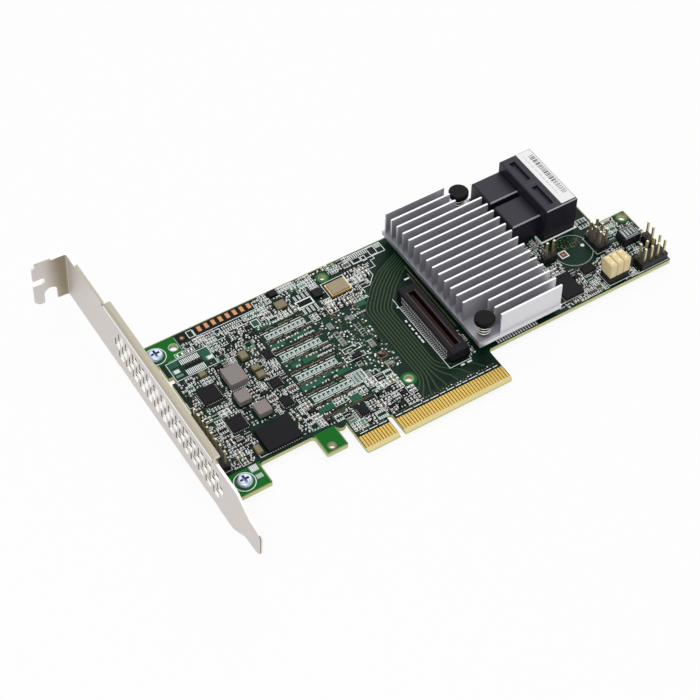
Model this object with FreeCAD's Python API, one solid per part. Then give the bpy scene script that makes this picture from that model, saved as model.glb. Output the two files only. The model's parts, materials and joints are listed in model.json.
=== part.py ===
"""Low-profile storage controller card with a full-height vented bracket.

Frame, in millimetres: X runs along the board from the bracket to the far end, Y from the
edge connector to the top edge, Z up out of the component side. The origin is the middle of
the key slot at the tip of the edge connector, on the component side of the board.
"""
import FreeCAD, Part
import math
import os

V = FreeCAD.Vector
os.makedirs("parts", exist_ok=True)

# Board
board_t = 1.57
board_top_y = 68.9
board_left_x = -56.2
card_length = 167.9
key_from_bracket = 58.6
shoulder_y = 13.0
far_step = 11.6
recess_y = 38.1
relief_x = -49.0
relief_y0 = 39.0
relief_y1 = 61.0
relief_bite = 1.6
relief_bite_y0 = 52.0
relief_bite_y1 = 54.5
lug_tab_y = 5.2
lug_tab_x1 = -41.3
hook_x0 = -22.9
hook_x1 = -15.6
corner_r = 0.6
inner_r = 1.2

# Edge connector
contact_pitch = 1.0
contact_w = 0.7
contact_t = 0.05
contact_y0 = 1.3
contact_y1 = 5.7
first_contact = 1.5
short_count = 11
long_count = 38
tongue_margin = 0.65
key_w = 1.9
key_top_y = 8.3
bevel_len = 1.1
bevel_depth = 0.42

# Round holes in the board: x, y, radius; the y of the first two is counted from the top edge
top_holes = [(-41.9, 4.4, 1.3), (11.4, 4.1, 1.0)]
low_holes = [(12.5, 16.4, 1.2), (-20.1, 7.3, 0.95)]
far_hole_inset = (2.2, 2.3, 1.2)

# Bracket
sheet_t = 0.82
bracket_len = 120.02
bracket_w = 18.42
bracket_top_y = 103.1
bracket_lean_deg = 3.5
bend_r = 1.5
strip_lift = 1.0
tab_reach = 11.43
tab_inset = 1.0
tab_shoulder_y = 96.0
lip_w = 2.6
lip_y0 = 10.4
lip_y1 = 77.5
lug_w = 7.2
lug_reach = 14.6
lug_relief = 0.5
screw_slot_w = 4.5
screw_slot_reach = 5.9
screw_slot_top = 4.3
finger_slot_w = 2.3
finger_slot_depth = 4.0
finger_slot_z = 8.4
vent_pitch = 4.47
vent_y0 = 8.0
vent_count = 14
vent_len = 3.2
vent_h = 3.05
vent_corner = 0.45
vent_row_z = 8.35
vent_row_pitch = 3.65
tongue_w = 10.19
tongue_z0 = 2.9
tongue_start_y = -8.6
tongue_stagger = 2.0
tongue_draw = 0.6
tongue_bend_r = 1.0
tongue_tip_r = 2.2
taper_y = -2.0
taper_r = 5.0
bulge_y0 = -3.4
bulge_r = 1.5
shoulder_r = 0.3
tab_bevel = 1.4

# Bracket screws
screw_x = -48.2
low_screw_y = 9.5
screw_spacing = 54.6
screw_head_r = 2.55
screw_head_h = 1.55
screw_r = 1.45
screw_clear = 0.15
screw_reach = 0.9
recess_w = 0.8
recess_len = 2.9
recess_depth = 0.9

# Heat sink
sink_x0 = 36.2
sink_x1 = 66.5
sink_y0 = 13.4
sink_top_inset = 0.2
sink_base_t = 1.6
sink_top_z = 12.3
fin_count = 17
fin_t = 0.65
fin_inset = 0.6
cut_fins = 3
cut_len = 7.4

# Controller under the heat sink
package_w = 27.0
package_t = 1.2
lid_w = 17.0
lid_t = 0.8
pad_t = 0.3

# Push pins
pin_dx = 11.4
pin_dy = 24.0
pin_head_r = 3.25
pin_head_t = 1.7
pin_head_top = 10.9
pin_shaft_r = 1.15
pin_hole_clear = 0.25
pin_barb_r = 1.8
pin_barb_len = 1.3
spring_wire_r = 0.27
spring_turns = 4.0
spring_rings = 16
spring_sides = 6
spring_gap = 0.2

# Double cable connector
conn_from_step = 5.9
conn_depth = 11.8
conn_top_inset = 1.6
conn_w = 26.4
conn_h = 12.9
conn_wall = 1.5
rear_len = 10.8
rear_h = 9.0
rear_gap = 1.9
rear_inset_near = 3.1
rear_inset_far = 0.3
rear_bevel = 0.4
port_depth = 8.4
port_h = 9.8
top_recess_w = 2.1
top_recess_from_back = 3.1
top_recess_depth = 1.0
top_recess_margin = 2.4
wafer_t = 0.9
wafer_margin = 1.0
wafer_len = 7.0
label_t = 0.06
label_w = 5.3
label_margin = 0.4

# Mezzanine connector
mezz_x = 29.8
mezz_w = 6.4
mezz_y0 = 14.2
mezz_y1 = 44.9
mezz_h = 4.4
mezz_slot_w = 2.2
mezz_slot_depth = 3.2
mezz_end = 3.0
mezz_pitch = 0.8
mezz_lead_w = 0.35
mezz_lead_out = 1.1
mezz_lead_t = 0.25

# Chips: x, y, width along X, width along Y, height
flash_chip = (-31.4, 19.1, 11.6, 9.2, 1.2)
power_chips = [(-41.5, 42.5, 6.2, 6.2, 0.9), (-39.8, 28.8, 5.3, 5.3, 0.9)]
driver_chips = [
    (-22.4, 36.0, 3.6, 3.6, 0.9), (-23.1, 28.0, 3.4, 3.4, 0.9), (-18.9, 46.4, 2.8, 3.0, 0.9),
    (-5.6, 13.2, 3.0, 3.4, 1.0),
]
inductors = [(-32.2, 43.7, 5.9, 7.0, 3.0), (-33.9, 35.7, 4.2, 4.4, 2.4), (-31.0, 28.9, 4.4, 4.6, 2.4)]
inductor_foot = 0.4
tan_capacitors = [
    (-25.6, 50.0, 2.4, 3.0, 1.4), (-24.7, 43.7, 2.6, 1.9, 1.4), (-24.7, 40.8, 2.6, 2.2, 1.4),
    (-39.4, 17.0, 1.9, 3.0, 1.4), (-39.6, 50.2, 2.2, 1.9, 1.2),
]

# Pieces of the far end: distance from the far edge, y, width along X, width along Y, height
logic_chip = (35.1, 21.0, 7.0, 9.6, 1.1)
sensor_chip = (25.0, 23.4, 4.4, 3.2, 0.9)
block_part = (6.1, 27.5, 5.8, 4.7, 3.1)

# Oscillator: x, distance from the top edge, width along X, width along Y, height
oscillator = (13.3, 10.5, 7.0, 5.2, 1.3)
oscillator_rim = 0.35

# Memory packages on the solder side
memory_count = 5
memory_x0 = -17.0
memory_pitch = 11.4
memory_y = 36.0
memory_w = 9.0
memory_len = 13.3
memory_t = 1.1

# Decoupling capacitors: bands under the memory address lines on both faces
cap_l = 1.0
cap_w = 0.5
cap_h = 0.5
band_count = 4
band_y0 = 24.6
band_pitch = 9.4
cap_count = 9
cap_x0 = -15.4
cap_pitch = 1.55

# Pin headers
pin_pitch = 2.54
pin_w = 0.64
pin_above = 8.5
pin_tail = 1.0
header_h = 2.54
cap_body_w = 2.3
cap_body_d = 4.9
cap_body_h = 5.6
cap_lift = 0.3

# Header places: the first pin's distance from the far edge, or its x by the bracket, and its y
jumper_place = (21.9, 15.8)
service_place = (9.6, 14.9)
battery_place = (34.3, 33.2)
fan_place = (1.7, 21.2)
cluster_place = (17.1, 28.4)
lamp_place = (-53.0, 16.6)

# Pin counts of each header: columns and rows
jumper_count = (3, 2)
service_count = (4, 2)
battery_count = (2, 1)
fan_count = (1, 2)
cluster_count = (2, 3)
lamp_count = (2, 8)

# Places worked out from the sizes
bracket_x = -key_from_bracket
board_far_x = bracket_x + card_length
recess_x = board_far_x - far_step
screw_ys = (low_screw_y, low_screw_y + screw_spacing)
screw_slot_x = bracket_x - screw_slot_reach
sink_y1 = board_top_y - sink_top_inset
conn_x1 = recess_x - conn_from_step
conn_x0 = conn_x1 - conn_depth
conn_y1 = board_top_y - conn_top_inset
conn_y0 = conn_y1 - conn_w
rear_x0 = conn_x0 - rear_len
top_recess_x = conn_x0 + top_recess_from_back
lug_z = -board_t - sheet_t
tongue_x0 = -(first_contact + (short_count - 1) * contact_pitch + tongue_margin)
tongue_x1 = first_contact + (long_count - 1) * contact_pitch + tongue_margin
sink_bottom_z = package_t + lid_t + pad_t
sink_base_z = sink_bottom_z + sink_base_t
sink_mid_x = (sink_x0 + sink_x1) / 2
sink_mid_y = (sink_y0 + sink_y1) / 2
pin_places = [(sink_mid_x - pin_dx, sink_mid_y - pin_dy), (sink_mid_x + pin_dx, sink_mid_y + pin_dy)]
pin_hole_r = pin_shaft_r + pin_hole_clear
bracket_z0 = lug_z + strip_lift
bracket_z1 = bracket_z0 + bracket_w
conn_mid_y = (conn_y0 + conn_y1) / 2


def box(x0, y0, z0, x1, y1, z1):
    """Block between two corners."""
    return Part.makeBox(x1 - x0, y1 - y0, z1 - z0, V(x0, y0, z0))


def slab(x, y, wx, wy, z0, z1):
    """Block by the middle of its plan."""
    return box(x - wx / 2, y - wy / 2, z0, x + wx / 2, y + wy / 2, z1)


def rounded_wire(corners, place):
    """Closed wire through corners (u, v, radius); place turns (u, v) into a space point."""
    edges = []
    ends = []
    count = len(corners)
    for i, (u, v, r) in enumerate(corners):
        here = V(u, v, 0)
        back = V(*corners[i - 1][:2], 0) - here
        ahead = V(*corners[(i + 1) % count][:2], 0) - here
        back.normalize()
        ahead.normalize()
        if r <= 0:
            ends.append((here, here, None))
            continue
        half = back.getAngle(ahead) / 2
        reach = r / math.tan(half)
        middle = back + ahead
        middle.normalize()
        ends.append((here + back * reach, here + ahead * reach, here + middle * (r / math.sin(half) - r)))
    for i, (start, stop, mid) in enumerate(ends):
        if mid is not None:
            edges.append(Part.Arc(place(start), place(mid), place(stop)).toShape())
        following = ends[(i + 1) % count][0]
        if stop.distanceToPoint(following) > 1e-6:
            edges.append(Part.LineSegment(place(stop), place(following)).toShape())
    return Part.Wire(edges)


def plate(corners, z0, z1):
    """Flat piece in the board's plane."""
    return Part.Face(rounded_wire(corners, lambda p: V(p.x, p.y, z0))).extrude(V(0, 0, z1 - z0))


def upright(corners, x0, x1):
    """Flat piece across X; corners are (y, z, radius)."""
    return Part.Face(rounded_wire(corners, lambda p: V(x0, p.x, p.y))).extrude(V(x1 - x0, 0, 0))


def tab_plate(corners, y0, y1):
    """Flat piece across Y; corners are (x, z, radius)."""
    return Part.Face(rounded_wire(corners, lambda p: V(p.x, y0, p.y))).extrude(V(0, y1 - y0, 0))


def save(name, shapes):
    """Write one node; a list is a group of separate solids."""
    if isinstance(shapes, list):
        shapes = Part.makeCompound(shapes)
    shapes.exportStep("parts/" + name + ".step")


def circuit_board():
    """Fibreglass board: stepped outline, key slot, bevelled tongue and round holes."""
    notch_mid = (hook_x1 + tongue_x0) / 2
    notch_r = (tongue_x0 - hook_x1) / 2
    outline = [
        (tongue_x0, 0, corner_r), (tongue_x1, 0, corner_r), (tongue_x1, shoulder_y, inner_r),
        (board_far_x, shoulder_y, corner_r), (board_far_x, recess_y, corner_r),
        (recess_x, recess_y, corner_r), (recess_x, board_top_y, 0), (board_left_x, board_top_y, 0),
        (board_left_x, relief_y1, 0), (relief_x, relief_y1, 0), (relief_x, relief_bite_y1, 0),
        (relief_x + relief_bite, relief_bite_y1, 0), (relief_x + relief_bite, relief_bite_y0, 0),
        (relief_x, relief_bite_y0, 0), (relief_x, relief_y0, inner_r), (board_left_x, relief_y0, 0),
        (board_left_x, lug_tab_y, corner_r), (lug_tab_x1, lug_tab_y, corner_r),
        (lug_tab_x1, shoulder_y, inner_r), (hook_x0, shoulder_y, inner_r), (hook_x0, lug_tab_y, corner_r),
        (hook_x1, lug_tab_y, corner_r), (hook_x1, shoulder_y + 1e-3, 0), (tongue_x0, shoulder_y + 1e-3, 0),
    ]
    board = plate(outline, -board_t, 0)
    board = board.cut(Part.makeCylinder(notch_r, board_t, V(notch_mid, shoulder_y, -board_t)))
    key_r = key_w / 2
    board = board.cut(box(-key_r, -1, -board_t, key_r, key_top_y - key_r, 0))
    board = board.cut(Part.makeCylinder(key_r, board_t, V(0, key_top_y - key_r, -board_t)))
    for face_z, inward in ((0, -1), (-board_t, 1)):
        wedge = Part.Face(Part.makePolygon([
            V(tongue_x0 - 1, 0, face_z), V(tongue_x0 - 1, bevel_len, face_z),
            V(tongue_x0 - 1, 0, face_z + inward * bevel_depth), V(tongue_x0 - 1, 0, face_z)]))
        board = board.cut(wedge.extrude(V(tongue_x1 - tongue_x0 + 2, 0, 0)))
    holes = [(x, board_top_y - inset, r) for x, inset, r in top_holes] + list(low_holes)
    holes.append((board_far_x - far_hole_inset[0], recess_y - far_hole_inset[1], far_hole_inset[2]))
    holes += [(screw_x, y, screw_r + screw_clear) for y in screw_ys]
    holes += [(x, y, pin_hole_r) for x, y in pin_places]
    for x, y, r in holes:
        board = board.cut(Part.makeCylinder(r, board_t, V(x, y, -board_t)))
    for x, y in header_pin_places():
        board = board.cut(slab(x, y, pin_w, pin_w, -board_t, 0))
    return board


def contact_row(z0):
    """Gold contacts of one face of the tongue, both sides of the key slot."""
    xs = [-first_contact - i * contact_pitch for i in range(short_count)]
    xs += [first_contact + i * contact_pitch for i in range(long_count)]
    return [box(x - contact_w / 2, contact_y0, z0, x + contact_w / 2, contact_y1, z0 + contact_t) for x in xs]


def vent(y, z):
    """Cutter of one vent: an oblong with cut corners."""
    far, near = vent_len / 2, vent_len / 2 - vent_corner
    high, low = vent_h / 2, vent_h / 2 - vent_corner
    turns = [
        (-near, -high), (near, -high), (far, -low), (far, low),
        (near, high), (-near, high), (-far, low), (-far, -low),
    ]
    return upright([(y + dy, z + dz, 0) for dy, dz in turns], bracket_x - 1, bracket_x + sheet_t + 1)


def mounting_bracket():
    """Bracket folded from one sheet: strip with vents, lip, card lugs, screw tab and tongue."""
    x0 = bracket_x
    x1 = bracket_x + sheet_t
    bottom_y = bracket_top_y - bracket_len
    fold_z = bracket_z1 - bend_r
    lug_edges = []
    for y in sorted(screw_ys, reverse=True):
        lug_edges += [(y + lug_w / 2, bracket_z0, 0), (y + lug_w / 2, lug_z + bend_r, 0),
                      (y - lug_w / 2, lug_z + bend_r, 0), (y - lug_w / 2, bracket_z0, 0)]
    strip = [(bracket_top_y - bend_r, bracket_z1 - tab_inset, 0), (bracket_top_y - bend_r, bracket_z0, 0)]
    strip += lug_edges
    strip += [
        (taper_y, bracket_z0, taper_r), (tongue_start_y, tongue_z0, tongue_bend_r),
        (bottom_y, tongue_z0 + tongue_draw, tongue_tip_r),
        (bottom_y, tongue_z0 + tongue_w - tongue_draw, tongue_tip_r),
        (tongue_start_y - tongue_stagger, tongue_z0 + tongue_w, tongue_bend_r),
        (bulge_y0, bracket_z1, bulge_r), (lip_y0 - lug_relief, bracket_z1, 0),
        (lip_y0 - lug_relief, fold_z, 0), (lip_y1 + lug_relief, fold_z, 0),
        (lip_y1 + lug_relief, bracket_z1, shoulder_r), (tab_shoulder_y, bracket_z1, shoulder_r),
        (tab_shoulder_y, bracket_z1 - tab_inset, 0),
    ]
    bracket = upright(strip, x0, x1)

    def fold(along, across, length, axis):
        """Quarter bend of the sheet; along and across turn the profile into space."""
        inner = bend_r - sheet_t
        half = math.sqrt(0.5)
        outer_mid = V(bend_r * (1 - half), bend_r * half, 0)
        inner_mid = V(bend_r - inner * half, inner * half, 0)
        place = across
        edges = [
            Part.Arc(place(V(0, 0, 0)), place(outer_mid), place(V(bend_r, bend_r, 0))).toShape(),
            Part.LineSegment(place(V(bend_r, bend_r, 0)), place(V(length, bend_r, 0))).toShape(),
            Part.LineSegment(place(V(length, bend_r, 0)), place(V(length, inner, 0))).toShape(),
            Part.LineSegment(place(V(length, inner, 0)), place(V(bend_r, inner, 0))).toShape(),
            Part.Arc(place(V(bend_r, inner, 0)), place(inner_mid), place(V(sheet_t, 0, 0))).toShape(),
            Part.LineSegment(place(V(sheet_t, 0, 0)), place(V(0, 0, 0))).toShape(),
        ]
        return Part.Face(Part.Wire(edges)).extrude(axis * along)

    lip = fold(lip_y1 - lip_y0, lambda p: V(x0 + p.x, lip_y0, fold_z + p.y), lip_w, V(0, 1, 0))
    tab = fold(bracket_w - tab_inset, lambda p: V(x1 - p.x, bracket_top_y - bend_r + p.y, bracket_z0),
               tab_reach + sheet_t, V(0, 0, 1))
    tab_end = x0 - tab_reach
    tab = tab.cut(tab_plate([
        (screw_slot_x - screw_slot_w / 2, bracket_z0 - 1, 0),
        (screw_slot_x + screw_slot_w / 2, bracket_z0 - 1, 0),
        (screw_slot_x + screw_slot_w / 2, screw_slot_top, screw_slot_w / 2 - 1e-3),
        (screw_slot_x - screw_slot_w / 2, screw_slot_top, screw_slot_w / 2 - 1e-3)],
        bracket_top_y - 2 * bend_r, bracket_top_y + 1))
    slot_z0 = finger_slot_z - finger_slot_w / 2
    slot_z1 = finger_slot_z + finger_slot_w / 2
    slot_end = tab_end + finger_slot_depth
    tab = tab.cut(tab_plate([
        (tab_end - 1, slot_z0, 0), (slot_end, slot_z0, finger_slot_w / 2 - 1e-3),
        (slot_end, slot_z1, finger_slot_w / 2 - 1e-3), (tab_end - 1, slot_z1, 0)],
        bracket_top_y - 2 * bend_r, bracket_top_y + 1))
    for z, turn in ((bracket_z0, 1), (bracket_z1 - tab_inset, -1)):
        corner = tab_plate([
            (tab_end - 1, z - turn, 0), (tab_end + tab_bevel, z - turn, 0), (tab_end + tab_bevel, z, 0),
            (tab_end, z + turn * tab_bevel, 0), (tab_end - 1, z + turn * tab_bevel, 0)],
            bracket_top_y - 2 * bend_r, bracket_top_y + 1)
        tab = tab.cut(corner)
    bracket = bracket.fuse([lip, tab])

    slots = []
    for row in (-1, 0, 1):
        shift = vent_pitch / 2 if row == 0 else 0
        for i in range(vent_count + (1 if row == 0 else 0)):
            y = vent_y0 - shift + i * vent_pitch
            z = vent_row_z + row * vent_row_pitch
            slots.append(vent(y, z))
    bracket = bracket.cut(Part.makeCompound(slots))
    bracket.rotate(V(bracket_x, 0, bracket_z0), V(0, 1, 0), bracket_lean_deg)

    for y in screw_ys:
        lug = fold(lug_w, lambda p, y=y: V(x0 + p.x, y + lug_w / 2, lug_z + bend_r - p.y),
                   lug_reach, V(0, -1, 0))
        lug = lug.cut(Part.makeCylinder(screw_r, 2 * sheet_t, V(screw_x, y, lug_z - sheet_t / 2)))
        bracket = bracket.fuse(lug)
    return bracket.removeSplitter()


def bracket_screw(y):
    """Pan-head screw with a cross recess, through the board into the bracket's lug."""
    head = Part.makeCylinder(screw_head_r, screw_head_h, V(screw_x, y, 0))
    rim = [e for e in head.Edges if abs(e.BoundBox.ZMin - screw_head_h) < 1e-6 and len(e.Vertexes) == 1]
    head = head.makeFillet(screw_head_h * 0.6, rim)
    shank = Part.makeCylinder(screw_r, screw_reach - lug_z, V(screw_x, y, lug_z - screw_reach))
    screw = head.fuse(shank).removeSplitter()
    for wx, wy in ((recess_len, recess_w), (recess_w, recess_len)):
        screw = screw.cut(slab(screw_x, y, wx, wy, screw_head_h - recess_depth, screw_head_h + 1))
    return screw


def heat_sink():
    """Extruded sink: base plate, straight fins along X, fins cut short at the push pins."""
    sink = box(sink_x0, sink_y0, sink_bottom_z, sink_x1, sink_y1, sink_base_z)
    pitch = (sink_y1 - sink_y0 - 2 * fin_inset - fin_t) / (fin_count - 1)
    fins = []
    for i in range(fin_count):
        y = sink_y0 + fin_inset + fin_t / 2 + i * pitch
        x0 = sink_mid_x - cut_len if i < cut_fins else sink_x0 + fin_inset
        x1 = sink_mid_x + cut_len if i >= fin_count - cut_fins else sink_x1
        fins.append(box(x0, y - fin_t / 2, sink_base_z - 0.01, x1, y + fin_t / 2, sink_top_z))
    sink = sink.fuse(fins).removeSplitter()
    for x, y in pin_places:
        sink = sink.cut(Part.makeCylinder(pin_hole_r, sink_base_t, V(x, y, sink_bottom_z)))
    return sink


def push_pin(x, y):
    """Turned pin: domed head, shaft and split barb under the board."""
    profile = [
        V(0, 0, pin_head_top), V(pin_head_r - 0.4, 0, pin_head_top), V(pin_head_r, 0, pin_head_top - 0.4),
        V(pin_head_r, 0, pin_head_top - pin_head_t), V(pin_shaft_r, 0, pin_head_top - pin_head_t),
        V(pin_shaft_r, 0, -board_t), V(pin_barb_r, 0, -board_t), V(pin_shaft_r * 0.7, 0, -board_t - pin_barb_len),
        V(0, 0, -board_t - pin_barb_len), V(0, 0, pin_head_top)]
    pin = Part.Face(Part.makePolygon(profile)).revolve(V(0, 0, 0), V(0, 0, 1), 360)
    pin = pin.cut(slab(0, 0, 0.5, 2 * pin_barb_r + 1, -board_t - pin_barb_len - 1, -board_t + 0.4))
    pin.translate(V(x, y, 0))
    return pin


def pin_spring(x, y):
    """Coil spring round the shaft, between the sink's base and the pin's head."""
    z0 = sink_base_z + spring_wire_r
    height = pin_head_top - pin_head_t - spring_wire_r - z0
    coil_r = pin_shaft_r + pin_hole_clear + spring_gap + spring_wire_r
    pitch = height / spring_turns
    rise = math.atan(pitch / (2 * math.pi * coil_r))
    steps = int(spring_turns * spring_rings)
    rings = []
    for i in range(steps + 1):
        turn = 2 * math.pi * i / spring_rings
        out = V(math.cos(turn), math.sin(turn), 0)
        up = V(math.sin(turn) * math.sin(rise), -math.cos(turn) * math.sin(rise), math.cos(rise))
        centre = out * coil_r + V(0, 0, pitch * i / spring_rings)
        sides = [2 * math.pi * k / spring_sides for k in range(spring_sides + 1)]
        points = [centre + (out * math.cos(a) + up * math.sin(a)) * spring_wire_r for a in sides[:-1]]
        rings.append(points)
    faces = [Part.Face(Part.makePolygon(ring + ring[:1])) for ring in (rings[0], rings[-1])]
    for lower, upper in zip(rings, rings[1:]):
        for k in range(spring_sides):
            a, b = lower[k - 1], lower[k]
            c, d = upper[k], upper[k - 1]
            faces.append(Part.Face(Part.makePolygon([a, b, c, a])))
            faces.append(Part.Face(Part.makePolygon([a, c, d, a])))
    coil = Part.Solid(Part.Shell(faces))
    coil.translate(V(x, y, z0))
    return coil


def cable_connector():
    """Moulded housing of two side-by-side cable ports, mouths at +X, with rear blocks."""
    body = box(conn_x0, conn_y0, 0, conn_x1, conn_y1, conn_h)
    body = body.makeChamfer(0.3, [e for e in body.Edges if abs(e.BoundBox.ZMin - conn_h) < 1e-6])
    gap_mid = (conn_y0 + rear_inset_near + conn_y1 - rear_inset_far) / 2
    rear = [
        box(rear_x0, conn_y0 + rear_inset_near, 0, conn_x0, gap_mid - rear_gap / 2, rear_h),
        box(rear_x0, gap_mid + rear_gap / 2, 0, conn_x0, conn_y1 - rear_inset_far, rear_h),
    ]
    for block in rear:
        rim = [e for e in block.Edges if abs(e.BoundBox.ZMin - rear_h) < 1e-6]
        body = body.fuse(block.makeChamfer(rear_bevel, rim))
    for y0, y1 in port_spans():
        z0 = (conn_h - port_h) / 2
        body = body.cut(box(conn_x1 - port_depth, y0, z0, conn_x1 + 1, y1, z0 + port_h))
        margin = top_recess_margin - conn_wall
        body = body.cut(box(top_recess_x - top_recess_w / 2, y0 + margin, conn_h - top_recess_depth,
                            top_recess_x + top_recess_w / 2, y1 - margin, conn_h + 1))
    return body.removeSplitter()


def port_spans():
    """Y range of each port's opening."""
    return [(conn_y0 + conn_wall, conn_mid_y - conn_wall / 2), (conn_mid_y + conn_wall / 2, conn_y1 - conn_wall)]


def port_wafer(y0, y1):
    """Contact blade that stands in one port."""
    back = conn_x1 - port_depth
    return box(back, y0 + wafer_margin, (conn_h - wafer_t) / 2,
               back + wafer_len, y1 - wafer_margin, (conn_h + wafer_t) / 2)


def port_label():
    """Paper label on the connector's top, along its mouths."""
    return box(conn_x1 - label_margin - label_w, conn_y0 + 2 * label_margin, conn_h,
               conn_x1 - label_margin, conn_y1 - label_margin, conn_h + label_t)


def mezzanine_housing():
    """Long board-to-board socket with one slot and end posts."""
    body = slab(mezz_x, (mezz_y0 + mezz_y1) / 2, mezz_w, mezz_y1 - mezz_y0, 0, mezz_h)
    body = body.makeChamfer(0.3, [e for e in body.Edges if abs(e.BoundBox.ZMin - mezz_h) < 1e-6])
    body = body.cut(box(mezz_x - mezz_slot_w / 2, mezz_y0 + mezz_end, mezz_h - mezz_slot_depth,
                        mezz_x + mezz_slot_w / 2, mezz_y1 - mezz_end, mezz_h + 1))
    return body


def mezzanine_leads():
    """Fine solder leads along both long sides of the socket."""
    leads = []
    count = int((mezz_y1 - mezz_y0 - 2 * mezz_end) / mezz_pitch) + 1
    for side in (-1, 1):
        inner = mezz_x + side * mezz_w / 2
        outer = inner + side * mezz_lead_out
        for i in range(count):
            y = mezz_y0 + mezz_end + i * mezz_pitch
            leads.append(box(min(inner, outer), y - mezz_lead_w / 2, 0,
                             max(inner, outer), y + mezz_lead_w / 2, mezz_lead_t))
    return leads


def chip(spec, z0=0.0, down=False):
    """Moulded package with a small chamfer round its top."""
    x, y, wx, wy, h = spec
    body = slab(x, y, wx, wy, z0 - h, z0) if down else slab(x, y, wx, wy, z0, z0 + h)
    rim_z = z0 - h if down else z0 + h
    edges = [e for e in body.Edges if abs(e.BoundBox.ZMin - rim_z) < 1e-6 and abs(e.BoundBox.ZMax - rim_z) < 1e-6]
    return body.makeChamfer(min(0.15, h * 0.3), edges)


def from_far_edge(spec):
    """The same piece with its x in the card's frame."""
    return (board_far_x - spec[0],) + spec[1:]


def inductor(spec):
    """Pressed powder inductor: rounded block over its two feet."""
    x, y, wx, wy, h = spec
    body = slab(x, y, wx, wy, inductor_foot, h)
    body = body.makeFillet(0.4, [e for e in body.Edges if e.BoundBox.ZMax - e.BoundBox.ZMin > 1])
    feet = [slab(x, y + side * wy * 0.36, wx * 0.6, wy * 0.2, 0, inductor_foot) for side in (-1, 1)]
    return body.fuse(feet)


def oscillator_can():
    """Ceramic base with a seam-welded metal lid."""
    x, inset, wx, wy, h = oscillator
    y = board_top_y - inset
    base = slab(x, y, wx, wy, 0, h * 0.7)
    lid = slab(x, y, wx - 2 * oscillator_rim, wy - 2 * oscillator_rim, h * 0.7, h)
    return base, lid


def header_places(spec):
    """Pin places of one header (place, counts)."""
    (x, y), (columns, rows) = spec
    return [(x + i * pin_pitch, y + j * pin_pitch) for i in range(columns) for j in range(rows)]


def all_headers():
    """Named pin headers of the card."""
    return {
        "jumper_header": (from_far_edge(jumper_place), jumper_count),
        "service_header": (from_far_edge(service_place), service_count),
        "battery_header": (from_far_edge(battery_place), battery_count),
        "fan_header": (from_far_edge(fan_place), fan_count),
        "cluster_header": (from_far_edge(cluster_place), cluster_count),
        "lamp_header": (lamp_place, lamp_count)}


def header_pin_places():
    """Every header pin's place, for the board's plated holes."""
    return [place for spec in all_headers().values() for place in header_places(spec)]


def header_body(spec):
    """Insulator of one header: a chamfered cell for each pin, open round the pins."""
    (x, y), (columns, rows) = spec
    x0 = x - pin_pitch / 2
    y0 = y - pin_pitch / 2
    body = box(x0, y0, 0, x0 + columns * pin_pitch, y0 + rows * pin_pitch, header_h)
    body = body.makeChamfer(0.35, [e for e in body.Edges if e.BoundBox.ZMax - e.BoundBox.ZMin > 1])
    for px, py in header_places(spec):
        body = body.cut(slab(px, py, pin_w, pin_w, 0, header_h))
    return body


def header_pins(spec):
    """Square pins of one header, through the board."""
    return [slab(px, py, pin_w, pin_w, -board_t - pin_tail, pin_above) for px, py in header_places(spec)]


def jumper_caps():
    """Shunt caps, each over two pins of the jumper header."""
    (x, y), (columns, rows) = all_headers()["jumper_header"]
    caps = []
    for i in range(columns):
        px = x + i * pin_pitch
        mid_y = y + pin_pitch / 2
        z0 = header_h + cap_lift
        cap = slab(px, mid_y, cap_body_w, cap_body_d, z0, z0 + cap_body_h)
        cap = cap.makeChamfer(0.25, [e for e in cap.Edges if abs(e.BoundBox.ZMin - z0 - cap_body_h) < 1e-6])
        for py in (y, y + pin_pitch):
            cap = cap.cut(slab(px, py, pin_w, pin_w, z0 - 1, pin_above))
        caps.append(cap)
    return caps


def decoupling(down):
    """Bands of small ceramic capacitors; down puts them on the solder side."""
    parts = []
    for band in range(band_count):
        y = band_y0 + band * band_pitch
        if down and abs(y - memory_y) < memory_len / 2 + cap_l:
            continue
        for i in range(cap_count):
            x = cap_x0 + i * cap_pitch
            z0 = -board_t - cap_h if down else 0.0
            parts.append(slab(x, y, cap_w, cap_l, z0, z0 + cap_h))
    return parts


save("circuit_board", circuit_board())
save("edge_contacts_front", contact_row(0.0))
save("edge_contacts_back", contact_row(-board_t - contact_t))
save("mounting_bracket", mounting_bracket())
save("bracket_screws", [bracket_screw(y) for y in screw_ys])

save("controller_package", slab(sink_mid_x, sink_mid_y, package_w, package_w, 0, package_t))
save("controller_lid", slab(sink_mid_x, sink_mid_y, lid_w, lid_w, package_t, package_t + lid_t))
save("thermal_pad", slab(sink_mid_x, sink_mid_y, lid_w, lid_w, package_t + lid_t, sink_bottom_z))
save("heat_sink", heat_sink())
for side, (x, y) in zip(("near", "far"), pin_places):
    save("push_pin_" + side, push_pin(x, y))
    save("pin_spring_" + side, pin_spring(x, y))

save("cable_connector", cable_connector())
for number, (y0, y1) in enumerate(port_spans(), 1):
    save("port_wafer_%d" % number, port_wafer(y0, y1))
save("port_label", port_label())
save("mezzanine_housing", mezzanine_housing())
save("mezzanine_leads", mezzanine_leads())

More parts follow.
